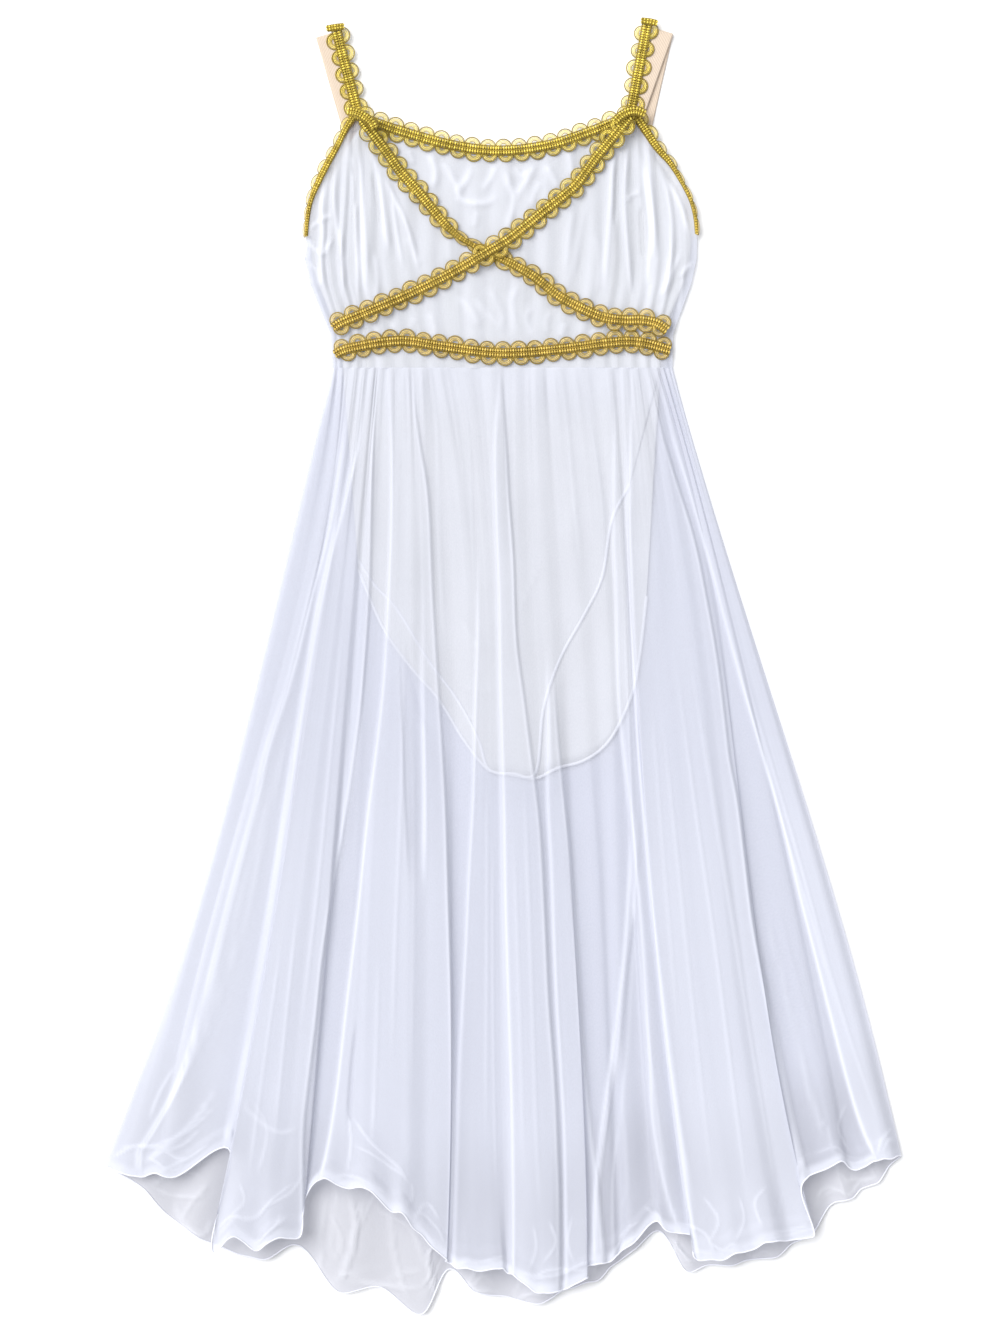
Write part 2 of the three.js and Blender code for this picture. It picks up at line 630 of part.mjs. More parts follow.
const costume = new THREE.Group();
const backSkirt = addPiece(costume, 'skirt_back', skirtBack(), 'sheerMesh');
const backBodice = addPiece(costume, 'bodice_back', bodiceBack(), 'sheerMesh');
const backLeotard = addPiece(costume, 'leotard_back', leotardBack(), 'leotardKnit');
const frontLeotard = addPiece(costume, 'leotard_front', leotardFront(), 'leotardKnit');
const underSkirt = [backSkirt, backLeotard, frontLeotard];
const skirt = addPiece(costume, 'skirt_front', skirtFront(underSkirt), 'sheerMesh');
const underBodice = [backBodice, backLeotard, frontLeotard];
const bodice = addPiece(costume, 'bodice_front', bodiceFront(underBodice), 'sheerMesh');
const strapLeft = addPiece(costume, 'strap_left', elasticStrap(STRAPS.left), 'nudeElastic');
const strapRight = addPiece(costume, 'strap_right', elasticStrap(STRAPS.right), 'nudeElastic');

// Each braid lies on the cloth and on the braids stitched down before it
const laid = [frontLeotard, skirt, bodice, strapLeft, strapRight];
function layBraid(name, path, width) {
  laid.push(addPiece(costume, name, braid(path, laid, width), 'goldBraid'));
}
layBraid('strap_trim_left', PATHS.strapLeft);
layBraid('strap_trim_right', PATHS.strapRight);
layBraid('armhole_trim_left', PATHS.armholeLeft, ARMHOLE_WIDTH);
layBraid('armhole_trim_right', PATHS.armholeRight, ARMHOLE_WIDTH);
layBraid('neck_trim', PATHS.neck);
layBraid('waist_trim', PATHS.waist);
layBraid('cross_trim_under', PATHS.crossUnder);
layBraid('cross_trim_over', PATHS.crossOver);

export default costume;
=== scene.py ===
"""Lyrical dance costume in a child's size, lying on its back on a flat surface.

A leotard in cream stretch knit lies under a gathered bodice overlay and a long gathered skirt of
sheer mesh. Scalloped gold gimp braid edges the neck and armholes, crosses over the chest and runs
round the waist, and nude elastic straps lie folded at the shoulders. Tables are in millimetres, in
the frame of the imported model: X across the garment, Y from the hem to the neck, Z up.
"""
import logging
import math
from dataclasses import dataclass, field
from enum import Enum

import bmesh
import bpy
import numpy as np
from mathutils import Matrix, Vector


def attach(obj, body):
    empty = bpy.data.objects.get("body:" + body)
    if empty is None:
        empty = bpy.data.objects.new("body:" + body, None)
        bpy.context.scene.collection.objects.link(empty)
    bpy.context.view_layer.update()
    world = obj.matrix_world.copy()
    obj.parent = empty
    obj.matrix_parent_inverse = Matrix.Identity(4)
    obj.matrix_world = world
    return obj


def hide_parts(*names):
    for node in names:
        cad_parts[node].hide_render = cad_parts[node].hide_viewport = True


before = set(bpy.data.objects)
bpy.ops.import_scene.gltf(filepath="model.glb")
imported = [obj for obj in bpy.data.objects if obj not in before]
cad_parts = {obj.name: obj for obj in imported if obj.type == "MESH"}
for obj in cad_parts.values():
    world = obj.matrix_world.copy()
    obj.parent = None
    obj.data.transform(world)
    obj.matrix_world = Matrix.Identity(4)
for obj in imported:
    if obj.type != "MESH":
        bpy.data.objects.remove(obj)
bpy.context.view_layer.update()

Array = np.ndarray
Material = bpy.types.Material
Piece = bpy.types.Object
Socket = bpy.types.NodeSocket
Term = Socket | float
Pair = tuple[float, float]
Triple = tuple[float, float, float]

log = logging.getLogger("dance costume")
MM = 0.001
BODY = "root"

CLOTH = 1.2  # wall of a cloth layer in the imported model
SEAM = 0.3  # gap between neighbouring pieces there
LAYER = CLOTH + SEAM
WAIST_Y = 196.0
WAIST_LEFT = -112.5
WAIST_RIGHT = 112.0
LINING_INSET = 4.0
GATHER_LIFT = 1.7
HEM_REGION = -180.0  # below this y a pressed edge runs on into the hem
PRESSED = 0.8  # scale of the pressed panels' heights
CROWN = (0.8, 0.3)  # share of a panel's height at its edges, and what its middle adds
EDGE_SLOPE = (1.0, 2.4)  # how far outside its edge a panel starts to rise, and over what width
EDGE_LINE = (0.8, 1.6)  # where inside the edge its crisp line lies, and the line's width; the line is raised a little and painted lighter as a highlight
EDGE_STRENGTH = 2.6  # weight of the line for each share of cover
FADE_IN = (6.0, 70.0)  # how far above its first point a panel starts to show, and over what length
FADE_OUT = 45.0
CREASE_STEPS = 16  # points in a crease's curve
CREASE_REACH = 3.0  # in widths, where a crease no longer adds height
CREASE_TAPER = 0.25  # share of a crease's length that tapers at each end


class Slot(str, Enum):
    """Material slots of the record."""

    SHEER_MESH = "sheer_mesh"
    LEOTARD_KNIT = "leotard_knit"
    GOLD_BRAID = "gold_braid"
    NUDE_ELASTIC = "nude_elastic"


class Level(float, Enum):
    """Underside height of the leotard's two layers, from the surface up."""

    LEOTARD_BACK = LAYER
    LEOTARD_FRONT = 2 * LAYER


class Outward(Enum):
    """The way that a panel's right side faces."""

    UP = 1
    DOWN = -1


@dataclass(frozen=True)
class Fold:
    """One fold of a skirt panel, and the valley on its right.

    waist, upper, lower and hem are the crest's x at four stations down the skirt, end is its y at
    the hem and lift its height there. dip is the share of the height that the valley keeps, pull is
    how far the valley's hem draws up, and tuck how far the valley slides under a neighbour.
    """

    waist: float
    upper: float
    lower: float
    hem: float
    end: float
    lift: float
    dip: float
    pull: float
    tuck: float = 0.0


@dataclass(frozen=True)
class Crease:
    """A soft ridge, or a trough if its height is negative, along a curve through plan points."""

    height: float
    width: float
    points: tuple[Pair, ...]


def plan_line(*numbers: float) -> tuple[Pair, ...]:
    """Plan points from their x and y in turn."""
    return tuple(zip(numbers[::2], numbers[1::2]))


def creases(*rows: tuple[float, ...]) -> tuple[Crease, ...]:
    """Creases from rows of a height, a width and the plan points' x and y in turn."""
    return tuple(Crease(height, width, plan_line(*numbers)) for height, width, *numbers in rows)


@dataclass(frozen=True)
class Waves:
    """Uneven waves in cloth: height, how many to a step across and down, and number of the pattern."""

    height: float
    across: float
    down: float
    pattern: int


@dataclass(frozen=True)
class Panel:
    """A broad fold pressed flat, between two crisp edges that are named in EDGES.

    height is how far it stands above the cloth beside it, and cover how much denser its doubled cloth looks,
    which the finish also paints lighter. Both are negative in a hollow, where the cloth is painted darker as
    shade.
    """

    height: float
    cover: float
    left: str
    right: str


@dataclass(frozen=True)
class Gather:
    """A gather of the bodice: its x at the top edge and at the waist, and its height."""

    top: float
    waist: float
    lift: float


SIDE_SEAMS = (
    (196, -112.5, 112),
    (219, -113.5, 112.5),
    (233, -119.5, 117.5),
    (252, -127, 124.5),
    (268, -130.4, 128),
    (284, -129.8, 128.4),
)
TOP_EDGE = (
    (-129.7, 282), (-129, 296), (-125, 309), (-117, 324), (-108.6, 340), (-100.7, 353),
    (-95.4, 360), (-86, 357), (-67.7, 352), (-34.7, 343), (-1.7, 339), (31.4, 343),
    (57.8, 351), (76, 358), (84.8, 361), (91, 357), (100.7, 342), (109, 331), (118.5, 316),
    (125, 303), (128.4, 283),
)
BACK_EDGE = (
    (-129.7, 282), (-104, 296), (-90, 300), (-62, 300), (-1, 288), (60, 300), (88, 300),
    (103, 296), (128.4, 283),
)
BODICE_GATHERS = tuple(Gather(*row) for row in (
    (-126, -110.5, 1.4), (-117, -107, 2), (-108.6, -102, 2.6), (-101, -96, 3), (-95, -88, 3.2),
    (-87, -77, 3), (-77, -65, 2.4), (-64, -54, 2), (-48, -43, 2.2), (-31, -31, 2.6), (-15, -18, 2.2),
    (2, -4, 2.6), (17, 11, 2.2), (31, 25, 2), (46, 38, 2.2), (60, 52, 2), (72, 66, 3), (80, 76, 3.2),
    (88, 85, 3.2), (96, 95, 2.6), (105, 102, 2.4), (118, 108, 1.6),
))
LEFT_EDGE = Fold(-112.5, -147, -194, -262.6, -330, 0, 0, 0)
RIGHT_EDGE = Fold(112, 153.5, 211, 262.6, -324, 0, 0, 0)
FRONT_FOLDS = tuple(Fold(*row) for row in (
    (-111, -140, -190, -243, -335, 2.5, 1, 1), (-106, -126, -176, -216, -333, 6, 0.4, 40, 24),
    (-97, -117, -149, -190, -380, 13, 1, 6), (-91, -109, -134, -159, -379, 13, 1, 0),
    (-85, -99, -115, -132, -370, 11, 0.45, 4, -5), (-80, -89, -96, -118, -337, 12, 1, 0),
    (-73, -76, -85, -89, -343, 13, 1, -2), (-63, -60, -62, -62, -361, 13, 1, -2),
    (-53, -45, -36, -37, -386, 9, 0.5, 0, -4), (-41, -22, -22, -29, -392, 10, 1, -1),
    (-27, -10, -8, -3, -395, 10, 1, 0), (-8, -1, 3, 9, -399, 12, 1, -2), (8, 12, 27, 30, -410, 12, 1, -3),
    (22, 30, 46, 55, -401, 9, 0.5, 0, -7), (36, 50, 62, 71, -389, 6, 0.5, 0),
    (52, 68, 76, 86, -379, 7, 0.5, 8, 3), (69, 80, 89, 107, -368, 8, 0.6, 4, 9),
    (80, 87, 99, 125, -387, 13, 1, -3), (88, 104, 124, 154, -384, 13, 1, 0),
    (95, 122, 145, 177, -377, 13, 1, -1), (101, 137, 164, 204, -371, 9, 0.7, 6, -16),
    (105.5, 143, 182, 220, -326, 7, 1, -2), (109, 148, 196, 240, -328, 4, 1, 2),
))
BACK_FOLDS = tuple(Fold(*row) for row in (
    (-102, -128, -172, -238, -343, 2.6, 0.1, -4), (-90, -112, -150, -203, -373, 4, 0.1, -2),
    (-74, -90, -118, -159, -391, 4, 0.1, 18), (-52, -62, -80, -107, -411, 4, 0.4, 8),
    (-28, -34, -43, -53, -425, 4, 0, 22), (-10, -12, -15, -18, -413, 3.5, 0.3, 2),
    (12, 14, 18, 24, -421, 4, 0.2, 2), (30, 38, 48, 60, -405, 3.5, 0.3, 0),
    (44, 54, 70, 87, -383, 3, 0, 18), (58, 74, 95, 121, -397, 4, 0.3, 2),
    (70, 92, 120, 151, -395, 4, 0.3, 1), (80, 108, 142, 180, -389, 3.5, 0.3, 2),
    (90, 122, 162, 204, -374, 3.5, 0.1, 6), (98, 134, 180, 227, -352, 3, 0.1, 0),
    (105, 144, 196, 248, -339, 2.4, 0.1, 2),
))
FRONT_BRIEF = (
    (-109, -95, 70), (-90, -84, 53), (-70, -70, 38), (-50, -49, 4), (-32, -30, -22),
    (-16, -16, -48), (-4, -9, -68), (8, 7, -71), (18, 22, -70), (28, 27, -28), (42, 38, 5),
    (58, 55, 36), (75, 66, 60), (92, 72, 96), (108, 84, 120),
)
BACK_BRIEF = (
    (-109, -95, 64), (-90, -79, 26), (-70, -61, 0), (-50, -42, -22), (-32, -26, -48),
    (-16, -12, -66), (-4, -5, -70), (8, 8, -72), (18, 22, -74), (28, 37, -67), (42, 52, -63),
    (58, 66, -54), (75, 77, -38), (92, 88, -8), (108, 95, 46),
)
EDGES = {
    "beyond left": plan_line(
        -120, 194, -140, 149, -167, 44, -183, -22, -200, -88, -233, -154, -252, -220, -272, -286,
        -285, -352,
    ),
    "left inner": plan_line(
        -102, 189, -106, 149, -114, 96, -125, 50, -140, -9, -155, -55, -163, -92, -173, -128, -183, -168,
        -195, -214, -206, -253, -219, -286, -239, -319,
    ),
    "second left": plan_line(
        -93, 189, -95, 149, -104, 110, -114, 70, -124, 24, -136, -49, -143, -95, -155, -174, -167, -240,
        -177, -293, -186, -333, -192, -382,
    ),
    "second right": plan_line(
        -83, 189, -85, 123, -87, 44, -92, -22, -97, -62, -103, -102, -112, -154, -118, -194, -122, -234,
        -126, -267, -130, -306, -130, -352, -130, -391,
    ),
    "third left": plan_line(
        -76, 194, -74, 149, -74, 96, -76, 44, -80, -22, -89, -95, -95, -154, -103, -220, -109, -273,
        -115, -313, -121, -339,
    ),
    "third right": plan_line(
        -60, 194, -54, 149, -48, 110, -45, 44, -41, -22, -37, -88, -35, -154, -33, -220, -32, -286,
        -33, -352, -35, -391,
    ),
    "hollow left": plan_line(-68, 24, -66, -36, -64, -88, -61, -154),
    "hollow right": plan_line(-54, 24, -52, -36, -51, -88, -52, -154),
    "middle left": plan_line(
        -17, 83, -17, 17, -19, -36, -20, -88, -23, -141, -25, -187, -28, -234, -30, -273, -31, -319,
        -33, -382,
    ),
    "centre left": plan_line(
        -2, 192, -6, 143, -5, 96, -3, 44, -2, -22, -0, -88, 1, -154, 3, -220, 5, -286, 6, -352,
        6, -402,
    ),
    "centre right": plan_line(
        0, 192, 3, 149, 5, 110, 8, 70, 10, 17, 15, -22, 20, -62, 25, -102, 28, -154, 31, -220, 35, -273,
        37, -319, 38, -352, 38, -409,
    ),
    "fifth left": plan_line(
        29, 11, 29, -49, 29, -88, 31, -128, 33, -174, 35, -220, 38, -273, 40, -319, 41, -409,
    ),
    "fifth right": plan_line(
        33, 11, 38, -55, 42, -95, 47, -141, 50, -194, 53, -247, 58, -300, 63, -339, 68, -385,
    ),
    "strip left": plan_line(
        85, -88, 82, -154, 79, -194, 74, -234, 69, -273, 64, -306, 60, -346, 59, -379,
    ),
    "strip right": plan_line(
        91, -88, 88, -154, 83, -194, 79, -234, 74, -273, 69, -306, 64, -346, 67, -385,
    ),
    "thin left": plan_line(90, -141, 85, -194, 82, -247, 79, -273, 76, -300, 72, -339, 72, -385),
    "broad outer": plan_line(
        74, 176, 72, 96, 74, 44, 76, -22, 81, -75, 85, -108, 89, -154, 93, -207, 96, -260, 98, -300,
        107, -346, 124, -391,
    ),
    "broad left": plan_line(
        85, 185, 83, 123, 83, 70, 86, -9, 89, -62, 93, -108, 97, -154, 102, -201, 107, -247, 114, -300,
        122, -359, 128, -393,
    ),
    "broad right": plan_line(
        99, 185, 107, 149, 117, 116, 127, 83, 135, 44, 142, 4, 147, -36, 150, -62, 155, -88, 160, -128,
        165, -168, 172, -207, 180, -247, 188, -286, 195, -319, 202, -346, 206, -374,
    ),
    "side line": plan_line(
        104, 185, 112, 149, 124, 110, 137, 63, 147, 24, 158, -16, 171, -59, 183, -102, 194, -148,
        204, -187, 216, -234, 226, -273, 236, -306, 245, -327,
    ),
    "beyond right": plan_line(
        130, 194, 144, 149, 170, 70, 196, -22, 223, -102, 249, -194, 276, -286, 289, -352,
    ),
    "gather one": plan_line(-45, 194, -44, 149, -43, 96, -41, 44, -38, 4),
    "gather two": plan_line(-27, 194, -21, 149, -19, 96, -17, 44, -16, -22),
    "gather three": plan_line(38, 194, 42, 156, 46, 110, 50, 70, 51, 30),
    "gather four": plan_line(54, 194, 60, 156, 66, 116, 68, 90, 67, 57),
}
PANELS = (
    Panel(1.2, 0.65, "beyond left", "left inner"),
    Panel(1.6, 0.6, "left inner", "second left"),
    Panel(3.0, 0.52, "second left", "second right"),
    Panel(3.2, 0.5, "third left", "third right"),
    Panel(-2.4, -0.3, "hollow left", "hollow right"),
    Panel(1.5, 0.22, "middle left", "centre left"),
    Panel(3.2, 0.48, "centre left", "centre right"),
    Panel(2.2, 0.34, "fifth left", "fifth right"),
    Panel(1.6, 0.3, "strip left", "strip right"),
    Panel(0.8, 0.12, "thin left", "broad outer"),
    Panel(1.8, 0.34, "broad outer", "broad left"),
    Panel(3.4, 0.6, "broad left", "broad right"),
    Panel(1.8, 0.78, "side line", "beyond right"),
    Panel(0.6, 0.1, "gather one", "gather two"),
    Panel(0.6, 0.1, "gather three", "gather four"),
)
SKIRT_CREASES = creases(
    (0.9, 1.5, -16, 70, -18, -58, -22, -134, -30, -286), (0.8, 1.5, -52, 70, -51, -58, -50, -154),
    (0.9, 1.4, 86, -141, 97, -253, 109, -352), (0.9, 1.4, 168, -141, 200, -273, 216, -323),
    (0.8, 1.3, 80, 44, 87, -152), (0.8, 1.4, 30, -2, 33, -83),
    (-1.6, 1.4, -95, -230, -99, -267, -101, -306), (0.8, 1.2, -136, -22, -159, -121, -182, -214),
    (0.7, 1.2, -147, -62, -177, -168, -203, -260), (0.7, 1.3, -165, -154, -196, -240, -226, -300),
    (0.8, 1.3, -104, 30, -113, -62, -122, -154, -134, -253), (0.6, 1.1, -99, 17, -104, -88, -109, -174),
    (0.7, 1.2, -134, -154, -142, -234, -150, -319), (0.6, 1.2, -144, -174, -156, -260, -167, -339),
    (0.8, 1.3, -64, 30, -66, -75, -70, -174, -73, -273), (0.6, 1.1, -59, -22, -58, -141, -60, -286),
    (0.7, 1.2, -81, -187, -83, -260, -86, -319), (0.7, 1.3, -10, -62, -10, -181, -11, -319),
    (0.6, 1.1, -6, -102, -6, -220, -4, -352), (0.8, 1.3, 14, -62, 18, -174, 22, -300, 25, -366),
    (0.7, 1.2, 7, -102, 11, -220, 14, -339), (0.7, 1.3, 30, -128, 35, -227, 39, -339),
    (0.7, 1.2, 104, -22, 115, -128, 126, -234, 138, -346),
    (0.8, 1.3, 112, 17, 126, -88, 141, -194, 155, -306, 161, -359),
    (0.7, 1.2, 120, 30, 136, -75, 153, -181, 171, -293, 181, -359),
    (0.6, 1.2, 97, -9, 107, -141, 117, -260), (0.6, 1.1, 130, -22, 146, -128, 162, -227),
    (0.6, 1.2, 104, -194, 115, -286, 126, -362), (0.7, 1.2, 153, 17, 190, -108, 221, -220, 249, -306),
    (0.7, 1.2, 145, 44, 172, -62, 202, -161, 229, -253), (0.8, 0.9, -234, -321, -218, -330, -206, -319),
    (0.7, 1.5, -238, -327, -214, -309, -198, -292, -188, -275),
    (0.7, 1.6, -175, -281, -159, -298, -144, -306, -132, -300),
    (0.6, 1.4, -233, -300, -225, -280, -213, -260),
    (0.8, 1.0, -99, -294, -86, -312, -70, -326, -60, -339),
    (0.6, 0.9, -159, -356, -140, -346, -131, -333), (0.6, 0.9, -179, -362, -169, -350, -173, -337),
    (0.7, 0.9, 134, -379, 141, -362, 130, -346), (0.6, 0.9, 170, -369, 165, -352, 174, -339),
    (0.6, 0.9, 229, -319, 221, -303, 227, -286), (0.7, 0.9, 25, -392, 35, -378, 30, -362),
    (0.8, 0.9, -60, -362, -49, -352, -41, -362), (-0.8, 2.0, -64, 17, -58, -16, -47, -49),
    (0.6, 1.6, -27, 30, -20, 17, -11, 11), (0.6, 1.6, -29, -9, -17, -16, -4, -15),
    (0.5, 1.6, 25, 70, 17, 50, 10, 37), (0.55, 0.9, -255, -317, -231, -316, -212, -321, -198, -319),
    (0.5, 0.9, -187, -286, -206, -304, -231, -316),
    (0.55, 0.9, -178, -364, -171, -369, -159, -374, -148, -367, -145, -356),
    (0.5, 0.9, -173, -364, -161, -358, -150, -349, -134, -336),
    (0.5, 1.0, -165, -283, -154, -304, -161, -335),
    (0.6, 0.9, -99, -313, -84, -321, -71, -329, -60, -339),
    (0.6, 0.9, -61, -356, -51, -359, -41, -369, -38, -379), (0.5, 0.9, -64, -352, -59, -346, -59, -336),
    (0.55, 0.9, -31, -389, -18, -390, -5, -388, 6, -388),
    (0.55, 0.9, 6, -392, 19, -397, 33, -395, 50, -397, 64, -392),
    (0.5, 0.9, 16, -396, 22, -381, 20, -364), (0.5, 0.9, 47, -394, 43, -378, 46, -360),
    (0.55, 0.9, 73, -380, 82, -370, 92, -364), (0.6, 0.9, 114, -363, 130, -370, 136, -378, 138, -389),
    (0.55, 0.9, 141, -388, 148, -379, 156, -381, 165, -378, 169, -384),
    (0.5, 0.9, 169, -374, 182, -370, 196, -367, 204, -364), (0.5, 0.9, 150, -380, 158, -362, 154, -345),
    (0.55, 0.9, 204, -320, 217, -316, 227, -321, 238, -322),
    (0.5, 0.9, 207, -295, 213, -304, 217, -318, 221, -325), (0.5, 0.9, 249, -321, 253, -312, 257, -313),
    (0.5, 0.9, -233, -326, -222, -318, -209, -312, -197, -300),
    (1.0, 0.9, -191, -373, -179, -362, -163, -359, -153, -352, -147, -345),
    (1.0, 0.9, -182, -371, -168, -377, -149, -368, -139, -357),
    (1.0, 0.9, -178, -384, -165, -378, -147, -378, -132, -373),
    (1.0, 0.9, -259, -326, -247, -318, -230, -315, -213, -319),
    (1.0, 0.9, -227, -335, -215, -325, -203, -319, -192, -311),
    (1.0, 0.9, -116, -339, -102, -332, -88, -340, -74, -345),
    (1.0, 0.9, -102, -332, -99, -311, -102, -290), (1.0, 0.9, -64, -359, -50, -370, -41, -381),
    (1.0, 0.9, -33, -391, -19, -389, -3, -391),
    (1.0, 0.9, 5, -394, 19, -398, 37, -399, 56, -391, 71, -389),
    (1.0, 0.9, 73, -391, 82, -380, 99, -370, 110, -368), (1.0, 0.9, 85, -366, 78, -377, 73, -387),
    (1.0, 0.9, 94, -359, 110, -370, 120, -382, 130, -384, 146, -390),
    (1.0, 0.9, 134, -377, 151, -384, 167, -382, 169, -387),
    (1.0, 0.9, 169, -377, 186, -373, 203, -368, 207, -359), (1.0, 0.9, 92, -355, 103, -363, 116, -373),
    (1.0, 0.9, 210, -325, 228, -325, 247, -325, 249, -319), (1.0, 0.9, 257, -304, 249, -312, 246, -325),
)
BODICE_CREASES = creases(
    (1.4, 2.0, -101, 349, -99, 331, -97, 308, -96, 281, -95, 248, -97, 230),
    (1.3, 2.0, -95, 349, -93, 327, -92, 301, -90, 268, -90, 242),
    (1.5, 2.4, -89, 346, -83, 331, -80, 311, -77, 288, -74, 268),
    (1.1, 1.8, -79, 324, -69, 304, -60, 281, -54, 255), (1.0, 1.8, -73, 314, -70, 288, -65, 258),
    (1.0, 2.1, -107, 334, -111, 314, -109, 291, -105, 267, -106, 235),
    (0.9, 2.0, -114, 324, -119, 304, -118, 284, -119, 261, -115, 238),
    (-1.2, 1.4, -99, 334, -97, 314, -97, 298), (-1.0, 1.4, -86, 327, -82, 304, -81, 288),
    (0.9, 2.1, -84, 275, -82, 255, -83, 238), (0.52, 3.0, -64, 284, -52, 263),
    (0.9, 1.8, -130, 282, -119, 271, -115, 276, -111, 284), (0.7, 1.8, -128, 267, -122, 260, -119, 248),
    (0.7, 1.8, -128, 288, -120, 293, -111, 298),
    (1.4, 2.0, 85, 352, 82, 334, 80, 308, 82, 278, 85, 248, 87, 234),
    (1.4, 2.1, 78, 347, 73, 331, 71, 304, 69, 275, 67, 242),
    (1.5, 2.4, 91, 341, 96, 314, 99, 288, 97, 261, 95, 238), (-1.8, 1.5, 91, 304, 92, 288, 93, 267),
    (-1.1, 1.4, 76, 331, 75, 308, 74, 288), (0.8, 1.7, 81, 306, 87, 311, 92, 312),
    (1.2, 2.1, 101, 331, 109, 311, 112, 281, 107, 251, 99, 236),
    (1.0, 2.1, 107, 324, 117, 304, 124, 281), (0.9, 2.0, 118, 275, 112, 258, 104, 242),
    (1.0, 1.8, 126, 267, 120, 260, 116, 255), (0.9, 1.8, 120, 259, 118, 244, 115, 230),
    (0.6, 2.7, 62, 288, 64, 265, 62, 242), (0.6, 2.7, 56, 314, 53, 294, 49, 271, 45, 251),
    (0.52, 2.7, 48, 304, 43, 281, 41, 258), (0.98, 2.8, -49, 339, -44, 326, -46, 313),
    (0.9, 2.8, -41, 334, -36, 326, -29, 314, -27, 310),
    (0.98, 2.7, -19, 333, -23, 322, -29, 310, -21, 305, -8, 306, -2, 314),
    (0.75, 2.4, -4, 331, -8, 321, -14, 312), (1.05, 2.8, 2, 331, 4, 319, 8, 308, 5, 294, 1, 281),
    (0.9, 2.7, 22, 333, 18, 323, 12, 314, 8, 305), (0.83, 2.7, 28, 331, 34, 321, 38, 313),
    (0.75, 2.4, 8, 330, 12, 323, 18, 327), (0.68, 2.7, 25, 321, 21, 310, 18, 301),
    (0.75, 2.7, 43, 341, 45, 329, 46, 321), (0.68, 2.7, 59, 346, 58, 337),
    (0.6, 2.4, -62, 341, -58, 330), (0.52, 2.7, -36, 284, -35, 265), (0.52, 2.7, -16, 301, -19, 288),
    (0.68, 3.0, -30, 245, -21, 234, -14, 222), (0.68, 3.0, -19, 243, -8, 230, 4, 219),
    (0.6, 2.8, -10, 251, -2, 235, 2, 222), (0.68, 2.8, 13, 253, 6, 242, 8, 227, 10, 214),
    (0.6, 2.8, 22, 238, 16, 230, 21, 215), (0.6, 2.8, 33, 235, 29, 226, 31, 218),
    (0.6, 2.8, 42, 227, 38, 216), (0.6, 2.8, -49, 234, -45, 222, -47, 214),
    (0.52, 2.8, -58, 231, -61, 220), (0.7, 2.1, -73, 227, -70, 218), (0.52, 2.8, 58, 222, 62, 216),
)
